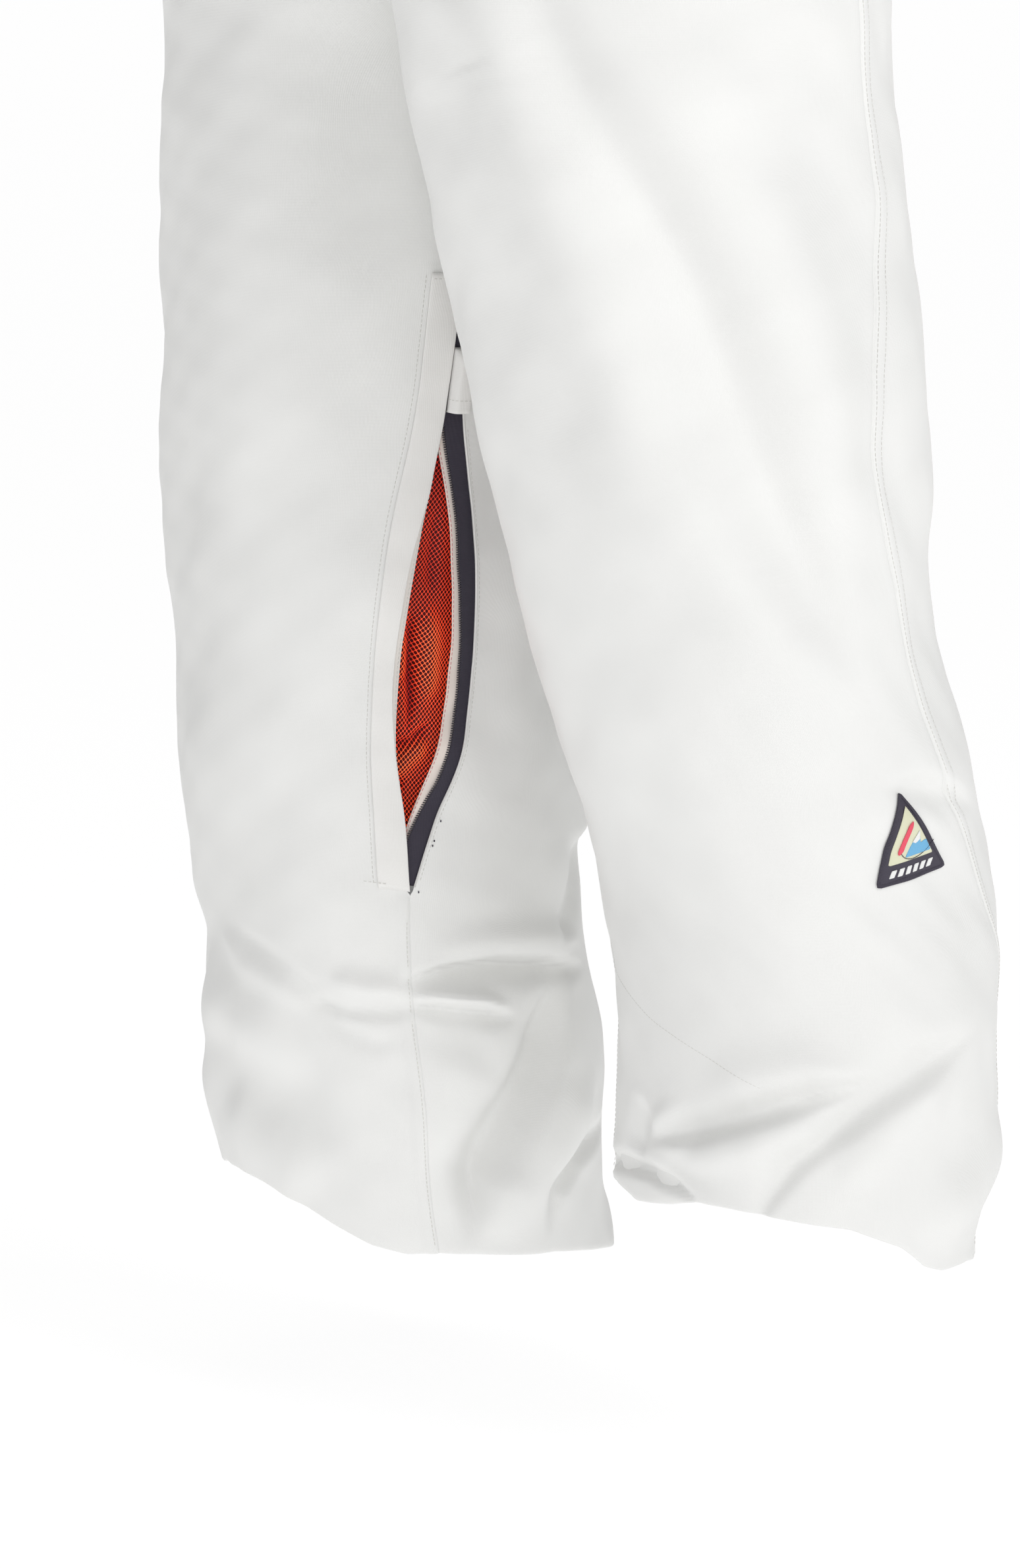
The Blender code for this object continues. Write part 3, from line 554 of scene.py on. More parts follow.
class Paint:
    """A material under construction: its shader and the nodes that feed it."""

    def __init__(self, name, colour, roughness, metallic=0.0):
        self.colour = colour
        self.material = plain_paint(name, colour, roughness, metallic)
        self.shader = self.material.node_tree.nodes["Principled BSDF"]

    def node(self, kind, **values):
        """A new node; the values go into the inputs of those names."""
        made = self.material.node_tree.nodes.new("ShaderNode" + kind)
        for name, value in values.items():
            made.inputs[name.replace("_", " ")].default_value = value
        return made

    def link(self, output, target):
        self.material.node_tree.links.new(output, target)

    def tones(self, source, *stops):
        """Base colour from a value, by a ramp of positions and colours."""
        ramp = self.node("ValToRGB")
        elements = ramp.color_ramp.elements
        (elements[0].position, first), *between, (elements[1].position, last) = stops
        elements[0].color, elements[1].color = (*first, 1), (*last, 1)
        for position, colour in between:
            elements.new(position).color = (*colour, 1)
        self.link(source, ramp.inputs["Fac"])
        self.link(ramp.outputs["Color"], self.shader.inputs["Base Color"])
        return ramp.outputs["Color"]

    def shade(self, share):
        """The material's colour, lighter or darker by a share."""
        return [min(1, c * share) for c in self.colour]

    def bump(self, source, strength, depth):
        made = self.node("Bump", Strength=strength, Distance=depth)
        self.link(source, made.inputs["Height"])
        self.link(made.outputs["Normal"], self.shader.inputs["Normal"])


def speckled(name, colour, roughness, metallic, grain, depth):
    """Cast metal or moulded plastic: a fine uneven grain in the surface, the tone and the shine."""
    paint = Paint(name, colour, roughness, metallic)
    noise = paint.node("TexNoise", Scale=1 / grain, Detail=3.0)
    paint.link(paint.node("TexCoord").outputs["Object"], noise.inputs["Vector"])
    paint.tones(noise.outputs["Fac"], (.3, paint.shade(.86)), (.7, paint.shade(1.10)))
    shine = paint.node("MapRange", To_Min=roughness - .06, To_Max=roughness + .08)
    paint.link(noise.outputs["Fac"], shine.inputs["Value"])
    paint.link(shine.outputs["Result"], paint.shader.inputs["Roughness"])
    paint.bump(noise.outputs["Fac"], .3, depth)
    return paint.material


def woven(name, colour, roughness, pitch, depth, contrast):
    """Woven cloth: two crossing thread waves as bump, and slow patches of tone."""
    paint = Paint(name, colour, roughness)
    where = paint.node("TexCoord").outputs["Object"]
    thread = paint.node("Math")
    thread.operation = "ADD"
    for k, axis in enumerate(("X", "Z")):
        wave = paint.node("TexWave", Scale=.314 / pitch, Distortion=.6, Detail=1.0)
        wave.wave_type, wave.bands_direction = "BANDS", axis
        paint.link(where, wave.inputs["Vector"])
        paint.link(wave.outputs["Fac"], thread.inputs[k])
    paint.bump(thread.outputs[0], .35, depth)
    cloud = paint.node("TexNoise", Scale=9.0, Detail=4.0)
    paint.link(where, cloud.inputs["Vector"])
    paint.tones(cloud.outputs["Fac"], (.35, paint.shade(1 - contrast)), (.65, paint.shade(1 + contrast)))
    return paint.material


def net_yarn_painted_shade_and_glow(name):
    """Orange net yarn with painted shade, deeper red at the top of the vent under the placket and in the
    net's valleys, and a painted glow in the same colours.
    """
    paint = Paint(name, (.95, .14, .03), .65)
    # the lift attribute carries painted shade: low in the net's valleys and up under the placket
    lift = paint.node("Attribute")
    lift.attribute_name = "lift"
    colour = paint.tones(lift.outputs["Fac"], (.05, (.42, .012, .010)), (.5, (.98, .080, .026)),
                         (.95, (1.0, .165, .050)))
    # painted glow: the yarn gives off light in its own shaded colours, though it is no lamp
    paint.link(colour, paint.shader.inputs["Emission Color"])
    paint.shader.inputs["Emission Strength"].default_value = .42
    return paint.material


# colour, roughness, thread pitch, bump depth and how far the tone drifts
SHELL_CLOTH = woven("shell_cloth", (.855, .855, .84), .62, .00045, .00010, .012)
TRIM_CLOTH = woven("trim_cloth", (.87, .86, .84), .60, .00045, .00010, .012)
THREAD = woven("thread", (.70, .69, .66), .7, .0003, .00005, .05)
# white cloth painted grey-brown: painted shade on the placket's turned-under hem
HEM_CLOTH_PAINTED_SHADE = woven("hem_cloth_painted_shade", (.76, .72, .68), .65, .00045, .00010, .02)
# white facing tinted pink: painted red light bounced off the orange net
FACING_CLOTH_PAINTED_BOUNCE = woven("facing_cloth_painted_bounce", (.86, .77, .71), .65, .00040, .00010, .02)
TAPE_CLOTH = woven("zip_tape_cloth", (.034, .029, .046), .75, .00060, .00012, .06)
PINK_THREAD = woven("pink_thread", (.70, .30, .31), .7, .0003, .00005, .05)
# dark maroon cloth: painted shade, standing for the shaded inside of the leg behind the nets
BACKING_PAINTED_SHADE = woven("backing_painted_shade", (.072, .005, .009), .8, .00050, .00010, .05)
LINING_CLOTH = woven("lining_cloth", (.60, .62, .65), .62, .00060, .00008, .02)
ELASTIC = woven("elastic", (.052, .052, .058), .7, .00090, .00025, .05)
BADGE_NAVY = woven("badge_navy", (.052, .046, .066), .75, .00055, .00018, .08)
BADGE_CREAM = woven("badge_cream", (.72, .72, .53), .75, .00045, .00012, .03)
BADGE_PINK = woven("badge_pink", (.78, .085, .135), .7, .00045, .00012, .04)
BADGE_BLUE = woven("badge_blue", (.16, .44, .70), .7, .00045, .00012, .04)
BADGE_WHITE = woven("badge_white", (.84, .84, .83), .7, .00045, .00012, .02)
# orange net with painted shade in its valleys and under the placket, and a painted glow
NET_CLOTH_PAINTED_SHADE_AND_GLOW = net_yarn_painted_shade_and_glow("net_cloth_painted_shade_and_glow")
# colour, roughness, metallic, size and depth of the grain
COIL = speckled("zip_coil", (.045, .040, .052), .36, 0.0, .0008, .00003)
ZINC = speckled("zinc", (.36, .35, .37), .38, 1.0, .0012, .00004)


# ---- pieces: each rides a body and may replace CAD nodes, which it hides ----
def finish_piece(piece, slot, *nodes, body="root"):
    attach(piece, body)
    if nodes:
        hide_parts(*nodes)
    return piece


def cloth(name, slot, node, *shape, body="root", **details):
    """A band of cloth as a piece on a body; node is the CAD node it replaces, or None."""
    nodes = [node] if node else []
    return finish_piece(band(name, *shape, **details), slot, *nodes, body=body)


def sewn(name, slot, *rows, paint=THREAD, body="root"):
    """Rows of stitches as one piece on a body.

    Each row is a path, its outward directions and, if they aren't the usual ones, the
    stitches' pitch, length and radius.
    """
    thread = Thread()
    for row in rows:
        thread.along(*row)
    return finish_piece(thread.made(name, paint), slot, body=body)


def coil(name, path, outs, aside, half=.0014, radius=.00040):
    """A zip's coil as one piece: short turns laid across a path."""
    turns = Thread(6)
    turns.teeth(path, outs, aside, half, COIL_PITCH, radius)
    return finish_piece(turns.made(name, COIL), "zip_tape")


def on(side):
    """Places on one half of the cloth, for bands."""
    return lambda u, w, offset: place(side, u, w, offset)


def bump(x, low, high, ramp):
    """1 between low and high, falling smoothly to 0 over the ramp outside them."""
    t = np.clip(np.minimum(x - low, high - x) / ramp + 1, 0, 1)
    return t * t * (3 - 2 * t)


def legs():
    for side, word in SIDES:
        finish_piece(shell(f"{word}_shell", side, SHELL_CLOTH), "shell_fabric",
                     f"{word}_front_panel", f"{word}_shin_panel", f"{word}_back_panel",
                     f"{word}_back_yoke", f"{word}_hem_facing")
        outseam = spread(-.84, .995, .012)
        inseam = spread(.73 if side < 0 else .02, .995, .012)
        yoke = -spread(3, 156, 3.0)
        rows = [run_on_leg(side, -distance * DEGREES_PER_METRE, outseam, ON_CLOTH)
                for distance in (.0016, .0078)]
        rows += [run_on_leg(side, yoke, YOKE_W - below, ON_CLOTH) for below in (.006, .024)]
        rows.append(run_on_leg(side, 180 - .0020 * DEGREES_PER_METRE, inseam, ON_CLOTH))
        if side > 0:
            u = spread(106, 179, 2.0)
            dart = run_on_leg(side, u, np.interp(u, *np.transpose(KNEE)), .0000)
            rows.append((*dart, .0024, STITCH, .00016))
        sewn(f"{word}_stitching", "shell_fabric", *rows)


# ---- the wearer's right vent: open, with its net, facing, tapes and garage ----
def net_slack(u, w):
    """How far the net hangs behind the shell's surface."""
    slack = -.0060 - .0042 * bump(w, .47, .64, .06)
    for fold in NET_FOLDS:
        slack = slack + fold_height(fold, u, w)
    return slack


def net_place(u, w, offset):
    """Places on the slack net behind the open vent."""
    return place(-1, u, w, offset + np.minimum(net_slack(u, w), -.0036))


def net(name, paint):
    """A knotted net with lens-shaped holes in staggered rows."""
    top, foot, start = .345, .672, 165      # levels of its ends, and where its rows count from
    ring = np.array([(1, 0), (.5, .5), (0, 1), (-.5, .5), (-1, 0), (-.5, -.5), (0, -1), (.5, -.5)])
    hole = ring * np.where(np.abs(ring).max(1) > .9, .76, .90)[:, None]
    step = NET_ACROSS * DEGREES_PER_METRE
    centres = []
    for row in range(round((foot - top) * LEG_LENGTH / (NET_DOWN / 2))):
        w = top + row * NET_DOWN / 2 / LEG_LENGTH
        front, back = vent_line(2, w) - 3.0, vent_line(3, w) - 3.5
        for k in range(math.ceil((front - start) / step), int((back - start) / step)):
            centres.append((start + (k + .5 * (row % 2)) * step, w))
    centres = np.array(centres)
    half = np.array([NET_ACROSS / 2 * DEGREES_PER_METRE, NET_DOWN / 2 / LEG_LENGTH])
    spots = (centres[:, None, :] + np.concatenate([ring, hole])[None] * half).reshape(-1, 2)
    keys = np.round(spots / half * 4).astype(int)
    _, first, index = np.unique(keys, axis=0, return_index=True, return_inverse=True)
    u, w = spots[first].T
    index = index.reshape(len(centres), 16)
    faces = [(c[k], c[(k + 1) % 8], c[8 + (k + 1) % 8], c[8 + k]) for c in index for k in range(8)]
    made = build(name, net_place(u, w, 0.0), faces, paint)
    # painted shade on the yarn, stored as its lift: less bright in the net's valleys and up under the
    # placket, where shade falls
    lift = np.clip((net_slack(u, w) + .0160) / .0105, 0, 1) * np.interp(w, (.36, .45, .52), (.12, .45, 1))
    stored = made.data.attributes.new("lift", "FLOAT", "POINT")
    stored.data.foreach_set("value", lift.astype(np.float32))
    return thicken(made, .00035, 0.0)


def right_vent():
    low_w, high_w = VENT[0][0] + .006, VENT[-1][0] - .003
    w = spread(low_w, high_w, .004)
    stitched, free, back = (vent_line(k, w) for k in (1, 2, 3))

    def rows_between(low, high):
        return slice(*np.searchsorted(w, (low, high)))

    twist = 1.7 * bump(w, .46, .54, .075)
    swell = .0002 * np.sin(w * 95) + .0001 * np.sin(w * 211)
    cloth("right_vent_placket_cloth", "shell_trim", "right_vent_placket", on(-1), w, stitched,
          free - twist, PLACKET_BACK, PLACKET_FRONT + swell, TRIM_CLOTH, columns=9)
    turned = rows_between(.375, .625)
    # the placket's turned-under hem, its white cloth painted darker as shade
    cloth("right_vent_placket_hem", "shell_trim", None, on(-1), w[turned],
          free[turned] - twist[turned] - .9, free[turned] - .1, -.0001, .0008, HEM_CLOTH_PAINTED_SHADE, columns=5)
    beside = rows_between(.34, .700)
    rows = [run_on_leg(-1, stitched - 1.25, w, ON_CLOTH)]
    rows += [run_on_leg(-1, spread(166, 174, .5), level, .0018)
             for level in (low_w + .0045, high_w - .0045)]
    rows.append(run_on_leg(-1, back[beside] + 1.15, w[beside], ON_CLOTH))
    rows.append((*run_on_leg(-1, free[turned] - .45 * twist[turned], w[turned], .0009),
                 STITCH_PITCH, STITCH, .00022))
    sewn("right_vent_stitching", "shell_fabric", *rows)
    tack = Thread()
    for level in (.648, .664, .668, .706):
        start, end = (place(-1, vent_line(3, level) + 1.6, level + down, .0003)
                      for down in (0, .0018))
        tack.dash(start, end, normal(-1, 184.0, level), .0004)
    finish_piece(tack.made("right_vent_bar_tacks", TAPE_CLOTH), "zip_tape")
    edge = rows_between(.25, .706)
    cloth("right_vent_rolled_edge", "shell_trim", None, on(-1), w[edge], back[edge] - .15,
          back[edge] + .55, -.0012, .0006, TRIM_CLOTH, columns=3)
    # the zip's two tapes, with the coil standing past the tape's edge
    inner = back - np.interp(w, (.25, .45, .54, .62, .665, .71), (5.5, 5.6, 3.9, 3.9, 6.0, 6.0))
    cloth("right_vent_tape", "zip_tape", "right_vent_tape_back", on(-1), w[edge], inner[edge],
          back[edge] + 1.6, *VENT_TAPE, TAPE_CLOTH, columns=7)
    near = rows_between(.36, .62)
    cloth("right_vent_tape_hidden", "zip_tape", "right_vent_tape_front", on(-1), w[near],
          free[near] - 7.2, free[near] - 1.5, *VENT_TAPE, TAPE_CLOTH, columns=5)
    path, outs = run_on_leg(-1, inner[edge] - .25, w[edge], VENT_TAPE[1])
    aside = place(-1, inner[edge] + .25, w[edge], VENT_TAPE[1]) - path
    coil("right_vent_coil", path, outs, aside, .0011)
    # facing under the tape, with its own row of pink stitches; the white facing is tinted pink with
    # painted red light bounced off the net
    lies = rows_between(.335, .695)
    outer = (back - np.interp(w, (.33, .45, .54, .62, .71), (7.7, 7.9, 7.5, 7.4, 7.4)))[lies]
    wave = .0007 * np.sin(w[lies] * 130) * bump(w[lies], .56, .66, .03)
    cloth("right_vent_facing_cloth", "shell_fabric", "right_vent_facing", on(-1), w[lies], outer,
          back[lies] - 3.0, -.0034, -.0023 + wave, FACING_CLOTH_PAINTED_BOUNCE, columns=7)
    sewn("right_vent_facing_stitching", "vent_mesh",
         (*run_on_leg(-1, outer + .45, w[lies], -.0022 + wave), STITCH_PITCH, STITCH, .00022),
         paint=PINK_THREAD)
    finish_piece(net("right_vent_net", NET_CLOTH_PAINTED_SHADE_AND_GLOW), "vent_mesh", "right_vent_mesh")
    # a dark sheet behind the net: painted shade of the leg's inside, seen through the holes
    w = spread(.235, .700, .004)
    cloth("right_vent_painted_shade_backing", "vent_mesh", None, net_place, w, vent_line(2, w) - 6,
          vent_line(3, w) + 3, -.0034, -.0028, BACKING_PAINTED_SHADE, columns=26)


def garage():
    """Tab over the parked slider: sewn down on three sides, open at its lower end."""
    u = spread(174.4, 180.4, .30)
    w = spread(.282, .331, .0025)
    grid_u, grid_w = np.meshgrid(u, w)
    edge_u = np.abs(2 * (grid_u - u[0]) / (u[-1] - u[0]) - 1)
    edge_w = np.clip((w[4] - grid_w) / (w[4] - w[0]), 0, 1)
    rise = .0008 + .0082 * (1 - edge_u**5) * (1 - edge_w**2.2)
    made = build("right_vent_garage_cloth", place(-1, grid_u, grid_w, rise),
                 grid_faces(len(w), len(u))[:, ::-1], TRIM_CLOTH)
    finish_piece(thicken(made, .0009), "shell_fabric", "right_vent_garage")
    row = np.argmin(np.abs(w - .3205))
    sewn("right_vent_garage_stitching", "shell_fabric",
         run_on_leg(-1, grid_u[row], grid_w[row], rise[row] + ON_CLOTH))


# ---- the wearer's left vent: zipped shut ----
def left_vent():
    w = spread(VENT[0][0] + .002, VENT[-1][0] - .002, .005)
    cloth("left_vent_placket_cloth", "shell_trim", "left_vent_placket", on(1), w, 165.0, 174.0,
          PLACKET_BACK, PLACKET_FRONT, TRIM_CLOTH, columns=9)
    cloth("left_vent_tape", "zip_tape", "left_vent_zip_tape", on(1), w, 176.8, 183.2, .0003, .0010,
          TAPE_CLOTH, columns=7)
    path, outs = run_on_leg(1, 180.0, w, .0014)
    coil("left_vent_coil", path, outs, place(1, 181.0, w, .0014) - path, radius=.00042)
    # the shut vent's net in the same dark maroon, painted shade under the placket
    cloth("left_vent_lining", "vent_mesh", "left_vent_mesh", on(1), w, 168.0, 192.0, -.0034, -.0026,
          BACKING_PAINTED_SHADE, columns=9)
    sewn("left_vent_stitching", "shell_fabric", run_on_leg(1, 163.8, w, ON_CLOTH))


# ---- calf badge: a generic mountain badge, without any lettering ----
def badge_place(a, b, offset):
    """Places on the badge: a runs along its foot, b from the foot to the top corner."""
    corner = np.array(BADGE)
    spot = (corner[0] + np.asarray(a, float)[..., None] * (corner[1] - corner[0])
            + np.asarray(b, float)[..., None] * (corner[2] - corner[0]))
    return place(1, spot[..., 0], spot[..., 1], offset)


def rounded(outline, radius):
    """A polygon with its corners rounded off, as evenly spaced points."""
    outline = np.array(outline, float)
    points = []
    for before, here, after in zip(np.roll(outline, 1, 0), outline, np.roll(outline, -1, 0)):
        way_in, way_out = before - here, after - here
        start = here + way_in * min(.45, radius / np.linalg.norm(way_in))
        end = here + way_out * min(.45, radius / np.linalg.norm(way_out))
        for t in np.linspace(0, 1, 5):
            points.append((1 - t)**2 * start + 2 * t * (1 - t) * here + t * t * end)
    points.append(points[0])
    run = run_length(points)
    s = np.linspace(0, run[-1], 72, endpoint=False)
    return np.stack([np.interp(s, run, np.array(points)[:, k]) for k in (0, 1)], 1)


def decal(name, outline, low, high, paint, radius):
    """A low flat shape on the badge."""
    rim = rounded(outline, radius)
    middle, count = rim.mean(0), len(rim)
    loops, lift = [], []
    for scale, level in ((.34, high), (.67, high), (.97, high), (1.0, (low + high) / 2),
                         (.97, low), (.67, low), (.34, low)):
        loops.append(middle + (rim - middle) * scale)
        lift.append(np.full(count, level))
    spots, lift = np.concatenate(loops), np.concatenate(lift)
    points = np.concatenate([badge_place(spots[:, 0], spots[:, 1], lift),
                             badge_place(middle[0], middle[1], high)[None],
                             badge_place(middle[0], middle[1], low)[None]])
    faces = [tuple(f) for f in grid_faces(7, count, ring=True)]
    top, last = 7 * count, 6 * count
    faces += [((k + 1) % count, k, top) for k in range(count)]
    faces += [(last + k, last + (k + 1) % count, top + 1) for k in range(count)]
    return finish_piece(build(name, points, facing_out(points, faces), paint), "zip_tape")


def badge():
    whole, corner_radius, rim_width = ((-.012, -.012), (1.012, -.012), (-.012, 1.012)), .055, .0029
    base = decal("badge_base", whole, .0004, .0013, BADGE_NAVY, corner_radius)
    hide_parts("calf_patch")
    decal("badge_field", ((.085, .205), (.715, .205), (.085, .845)), .0012, .0016, BADGE_CREAM, .012)
    decal("badge_mountain", ((.29, .25), (.66, .25), (.52, .40), (.455, .37), (.37, .53)), .0015,
          .0019, BADGE_BLUE, .02)
    decal("badge_snow", ((.325, .41), (.375, .385), (.42, .42), (.37, .53)), .0018, .0022,
          BADGE_WHITE, .01)
    decal("badge_board", ((.165, .325), (.195, .29), (.235, .32), (.255, .60), (.235, .665),
                          (.195, .62)), .0019, .0023, BADGE_PINK, .03)
    for k in range(BADGE_BARS):
        a = .13 + k * .105
        decal(f"badge_bar_{k + 1}", ((a, .065), (a + .065, .065), (a + .085, .145), (a + .02, .145)),
              .0012, .0017, BADGE_WHITE, .01)
    # the merrowed edge: threads wrapped round the rim
    rim = rounded(whole, corner_radius)
    closed = np.concatenate([rim, rim[:1]])
    within = rim.mean(0) + (closed - rim.mean(0)) * .93
    outer, inner = (badge_place(line[:, 0], line[:, 1], .0006) for line in (closed, within))
    aside = inner - outer
    aside /= np.linalg.norm(aside, axis=1, keepdims=True)
    path = outer + aside * rim_width / 2
    outs = np.tile(np.cross(outer[24] - outer[0], outer[48] - outer[0]), (len(path), 1))
    outs /= np.linalg.norm(outs[0])
    if (outs[0] * normal(1, BADGE[0][0], BADGE[0][1])).sum() < 0:
        outs = -outs
    edge = Thread(6)
    edge.teeth(path + outs * .0005, outs, aside, rim_width / 2, .00085, .00052)
    finish_piece(edge.made("badge_merrowed_edge", BADGE_NAVY), "zip_tape")
    arc = np.radians(np.arange(200, 351, 8))
    ring_a, ring_b = .40 + .235 * np.cos(arc) + .02, .415 + .20 * np.sin(arc)
    sewn("badge_arc", "zip_tape",
         (badge_place(ring_a, ring_b, .0018), np.tile(outs[0], (len(arc), 1)), .0012, .0013, .00022),
         paint=BADGE_NAVY)


# ---- waist ----
def round_waist(z, theta, offset):
    """Places on the waistband for bands that run round it."""
    return waist(theta, z, offset)


def run_on_waist(theta, z, offset):
    """A path on the waistband with its outward directions."""
    return waist(theta, z, offset), waist(theta, z, 1.0) - waist(theta, z, 0.0)


def strap(name, node, run, side, low, high, ends, offsets, columns):
    """A sewn-down strap round the waist, one end of it rounded, with stitches along both edges."""
    end, reach, depth = ends
    t = np.clip(1 - np.abs(run - end) / reach, 0, 1)
    cut = depth * (1 - np.sqrt(1 - t * t))
    under, over = offsets
    inset = .0026
    cloth(f"{name}_cloth", "shell_trim", node, round_waist, run * side, low + cut, high - cut, under,
          over, TRIM_CLOTH, unit=1, columns=columns, body=node)
    sewn(f"{name}_stitching", "shell_trim",
         *(run_on_waist(run[3:] * side, z[3:], over + ON_CLOTH)
           for z in (low + cut + inset, high - cut - inset)), body=node)


def waist_pieces():
    theta = spread(.08, 359.92, 1.25)
    swell = .0003 * np.sin(np.radians(theta) * 17) + .0002 * np.sin(np.radians(theta) * 31)
    cloth("waistband_cloth", "shell_fabric", "waistband", round_waist, theta, -BAND_HEIGHT, 0.0, -.0018,
          .0004 + swell, SHELL_CLOTH, unit=1, columns=12)
    cloth("waistband_lining_cloth", "lining", "waistband_lining", round_waist, theta,
          -BAND_HEIGHT + .003, -.002, -.0034, -.0024, LINING_CLOTH, unit=1, columns=8)
    sewn("waistband_stitching", "shell_fabric",
         *(run_on_waist(theta, z, .0005 + swell) for z in (-.0035, -BAND_HEIGHT + .0035)))
    z = spread(.0004, -.0494, .0012)
    rise = np.interp(-z, (-.0005, .004, .008, .013, .037, .042, .046, .0495),
                     (.0013, .0013, .0022, .0040, .0040, .0022, .0013, .0013))
    for number, centre in enumerate(BELT_LOOPS, 1):
        loop = f"belt_loop_{number}"
        cloth(f"{loop}_cloth", "shell_trim", loop, waist, z, centre - 1.9, centre + 1.9, rise,
              rise + .0012, TRIM_CLOTH, unit=WAIST_UNIT, columns=6)
        sewn(f"{loop}_stitching", "shell_trim",
             *(run_on_waist(centre + shift, z, rise + .0013) for shift in (-1.25, 1.25)))
    strap("waist_tab", "waist_tab", spread(-13, 15, .35), 1, -.047, -.003, (-13, 4.2, .010),
          (.0026, .0040), 9)
    for side, word in SIDES:
        strap(f"{word}_adjuster", f"{word}_adjuster_tab", spread(66, 88, .4), side, -.040, -.010,
              (66, 3.2, .009), (.0013, .0030), 8)
        flap, level = f"{word}_back_flap", spread(-.585, -.40, .008)
        cloth(f"{word}_flap_cloth", "shell_trim", flap, on(side), level, -118.0, -68.0, .0014, .0028,
              TRIM_CLOTH, columns=16, body=flap)
        rows = [run_on_leg(side, edge, level, .0029) for edge in (-116.6, -69.4)]
        rows += [run_on_leg(side, -spread(69.4, 116.6, 1.2), row, .0029) for row in (-.577, -.412)]
        sewn(f"{word}_flap_stitching", "shell_trim", *rows, body=flap)


# ---- pockets and fly ----
def hand_pocket(side, word):
    (u0, w0), (u1, w1) = (44, -.76), (30, -.36)
    unit = math.degrees(1 / .17)         # the hip is wider than the leg
    half = math.degrees(.0065 / .17)
    level = spread(w0, w1, .006)
    centre = np.interp(level, (w0, w1), (u0, u1))
    cloth(f"{word}_pocket_tape", "zip_tape", f"{word}_pocket_zip_tape", on(side), level, centre - half,
          centre + half, .0012, .0021, TAPE_CLOTH, columns=6, unit=unit)
    path, outs = run_on_leg(side, centre, level, COIL_TOP)
    coil(f"{word}_pocket_coil", path, outs, place(side, centre + 1, level, COIL_TOP) - path)
    for sign, edge in ((-1, "front"), (1, "back")):
        cloth(f"{word}_pocket_{edge}_welt", "shell_trim", None, on(side), level,
              centre + sign * (half - .6), centre + sign * (half + 1.5), *WELT, TRIM_CLOTH, columns=4,
              unit=unit)
    cloth(f"{word}_pocket_lining", "lining", f"{word}_pocket_bag", on(side), spread(-.80, -.10, .02),
          28.0, 110.0, *POCKET_BAG, LINING_CLOTH, columns=26)
    sewn(f"{word}_pocket_stitching", "shell_fabric",
         *(run_on_leg(side, centre + shift, level, ON_CLOTH) for shift in (-half - 2.3, half + 2.3)))


def on_centre(x, z, offset):
    """Places over the centre front seam, x across it."""
    level = z / CROTCH_Z - 1
    front = point(1, CENTRE_U, level)
    slope = point(1, CENTRE_U, level + .01) - point(1, CENTRE_U, level - .01)
    out = np.stack([0 * x, slope[..., 2], -slope[..., 1]], -1)
    out /= np.linalg.norm(out, axis=-1, keepdims=True)
    at = np.stack([x, front[..., 1] + x * x / .44, front[..., 2]], -1)
    return at + out * np.asarray(offset)[..., None]


def pocket_and_fly():
    for side, word in SIDES:
        hand_pocket(side, word)
    z = spread(-.052, -.200, .002)
    cloth("fly_tape", "zip_tape", "fly_zip_tape", on_centre, z, -.0065, .0065, .0014, .0022, TAPE_CLOTH,
          unit=1)
    x = np.zeros(len(z))
    coil("fly_coil", on_centre(x, z, x + COIL_TOP), on_centre(x, z, x + 1) - on_centre(x, z, x),
         np.tile((1.0, 0, 0), (len(z), 1)))
    for side, word in SIDES:
        cloth(f"fly_{word}_welt", "shell_trim", None, on_centre, z, side * .0052, side * .0095,
              *WELT, TRIM_CLOTH, unit=1, columns=4)
    cloth("fly_shield_cloth", "lining", "fly_shield", on_centre, spread(-.056, -.210, .006), -.022, .022,
          -.0050, -.0038, LINING_CLOTH, unit=1)
    z = spread(-.052, -.225, .002)
    bend = np.interp(z, (-.225, -.21, -.19), (.002, .019, .030))
    none = 0 * z
    sewn("fly_stitching", "shell_fabric",
         (on_centre(bend, z, none + .0003), on_centre(bend, z, none + 1) - on_centre(bend, z, none)))


# ---- snow gaiters inside the legs ----
def gaiters():
    for side, word in SIDES:
        u = spread(-180, 180, 1.5)[:-1]
        t = np.linspace(0, 1, 22)
        grid_u, grid_t = np.meshgrid(u, t)
        gather = np.sin(np.radians(grid_u) * 34 + .6 * np.sin(np.radians(grid_u) * 5))
        drop = -.0064 - .0196 * np.clip(grid_t * 1.15, 0, 1)**1.3 - .0011 * grid_t * (1 + gather)
        made = build(f"{word}_gaiter_cloth", place(side, grid_u, .79 + grid_t * .155, drop),
                     grid_faces(len(t), len(u), ring=True)[:, ::side], LINING_CLOTH)
        finish_piece(thicken(made, .0005), "lining", f"{word}_gaiter")
        u = spread(-180, 180, 1.0)[:-1]
        rib = .0003 * np.sin(np.radians(u) * 120)
        cloth(f"{word}_elastic", "cuff_elastic", f"{word}_gaiter_elastic",
              lambda w, v, off: place(side, v, w, off), u, .9465, .966, -.0268, -.0248 + rib, ELASTIC,
              unit=1 / LEG_LENGTH, columns=5, closed=True)


def hardware():
    """The sliders, pulls and snaps keep their own shape, in cast metal."""
    for name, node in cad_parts.items():
        if name.endswith(("_slider", "_pull")) or name.startswith("snap_"):
            node.data.materials.clear()
            node.data.materials.append(ZINC)


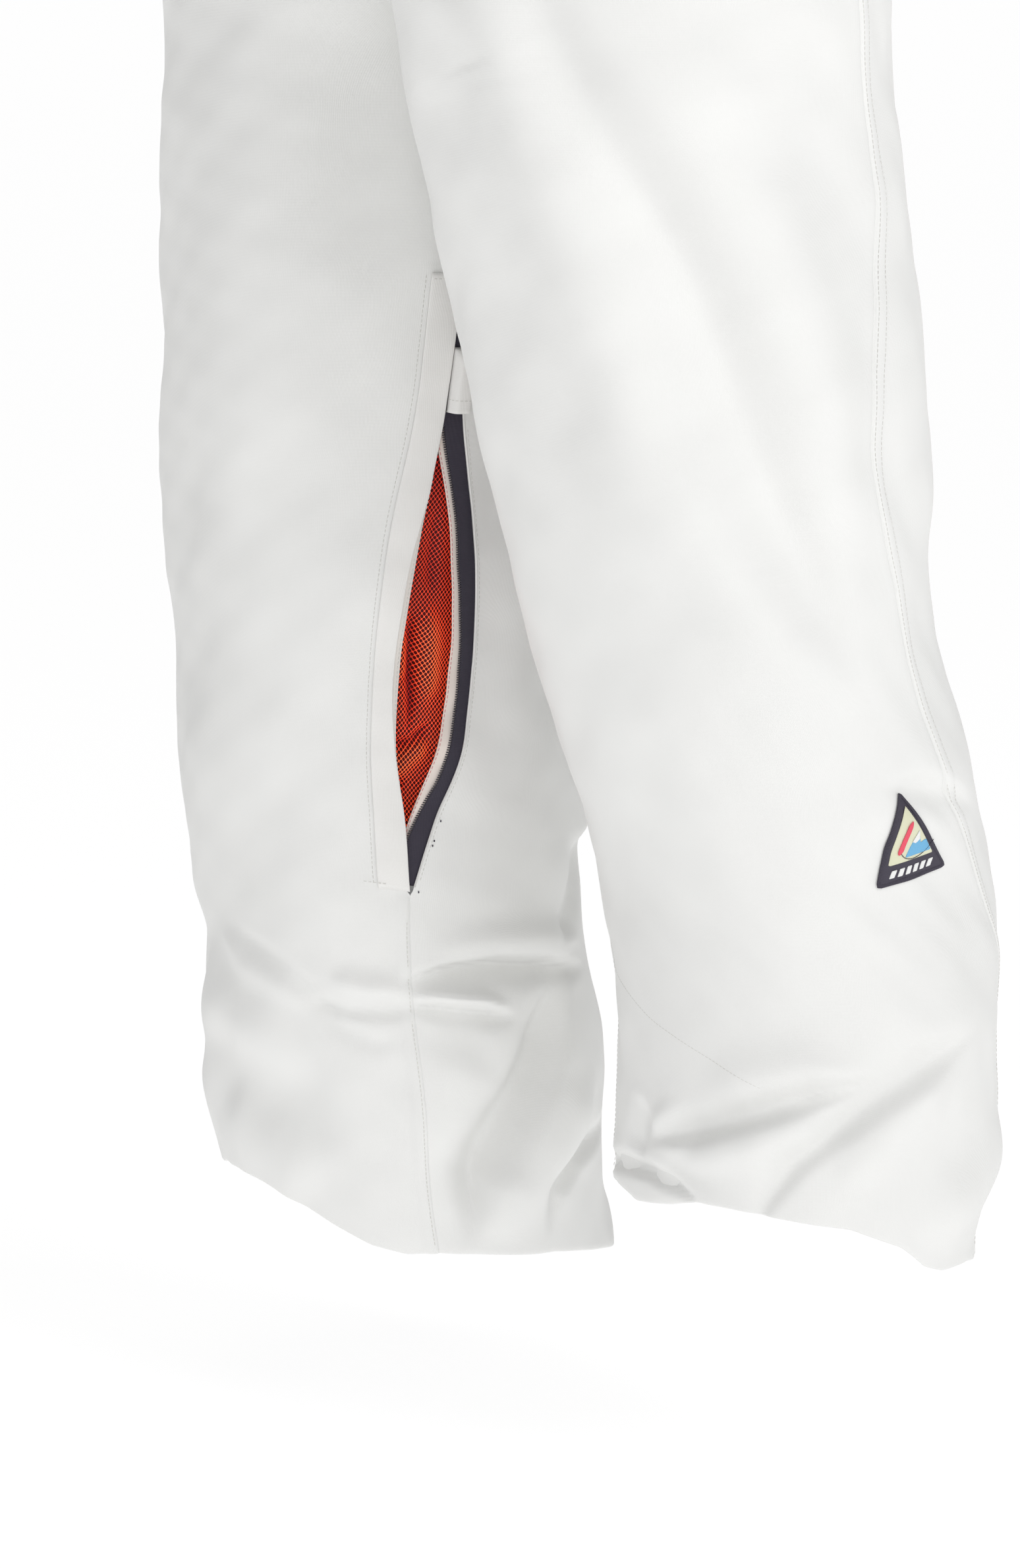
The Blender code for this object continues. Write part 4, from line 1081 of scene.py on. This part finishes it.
# ---- floor, light and camera ----
def aimed(name, data, azimuth, elevation, distance):
    """A light or camera on the scene, turned to the middle of the subject."""
    a, e = math.radians(azimuth), math.radians(elevation)
    back = Vector((math.sin(a) * math.cos(e), -math.cos(a) * math.cos(e), math.sin(e)))
    made = bpy.data.objects.new(name, data)
    made.location = AIM + back * distance
    made.rotation_euler = (-back).to_track_quat("-Z", "Y").to_euler()
    bpy.context.scene.collection.objects.link(made)
    return made


def studio():
    bpy.context.scene.view_settings.view_transform = "Standard"
    world = bpy.data.worlds.new("studio")
    bpy.context.scene.world = world
    world.use_nodes = True
    nodes, links = world.node_tree.nodes, world.node_tree.links
    sky = nodes["Background"]
    sky.inputs["Strength"].default_value = 1.0
    heading, height = nodes.new("ShaderNodeTexCoord"), nodes.new("ShaderNodeSeparateXYZ")
    ramp = nodes.new("ShaderNodeValToRGB")
    for stop, (position, value) in zip(ramp.color_ramp.elements, SKY):
        stop.position = position
        stop.color = (value, value, value, 1)
    links.new(heading.outputs["Generated"], height.inputs["Vector"])
    links.new(height.outputs["Z"], ramp.inputs["Fac"])
    links.new(ramp.outputs["Color"], sky.inputs["Color"])
    corners = [(x * FLOOR_REACH, y * FLOOR_REACH, FLOOR_Z)
               for x, y in ((-1, -1), (1, -1), (1, 1), (-1, 1))]
    paint = plain_paint("floor", (.35, .35, .35), .95)
    shader = paint.node_tree.nodes["Principled BSDF"]
    shader.inputs["Emission Color"].default_value = (1, 1, 1, 1)
    shader.inputs["Emission Strength"].default_value = FLOOR_GLOW
    build("floor", corners, [(0, 1, 2, 3)], paint)
    for name, azimuth, elevation, distance, size, power in LIGHTS:
        data = bpy.data.lights.new(name, "AREA")
        data.energy, data.shape, data.size = power, "DISK", size
        aimed(name, data, azimuth, elevation, distance)


def camera():
    data = bpy.data.cameras.new("camera")
    data.sensor_width, data.lens = 36.0, CAMERA_LENS
    data.clip_start, data.clip_end = .05, 60
    bpy.context.scene.camera = aimed("camera", data, CAMERA_AZIMUTH, CAMERA_ELEVATION, CAMERA_DISTANCE)


legs()
right_vent()
garage()
left_vent()
badge()
waist_pieces()
pocket_and_fly()
gaiters()
hardware()
studio()
camera()
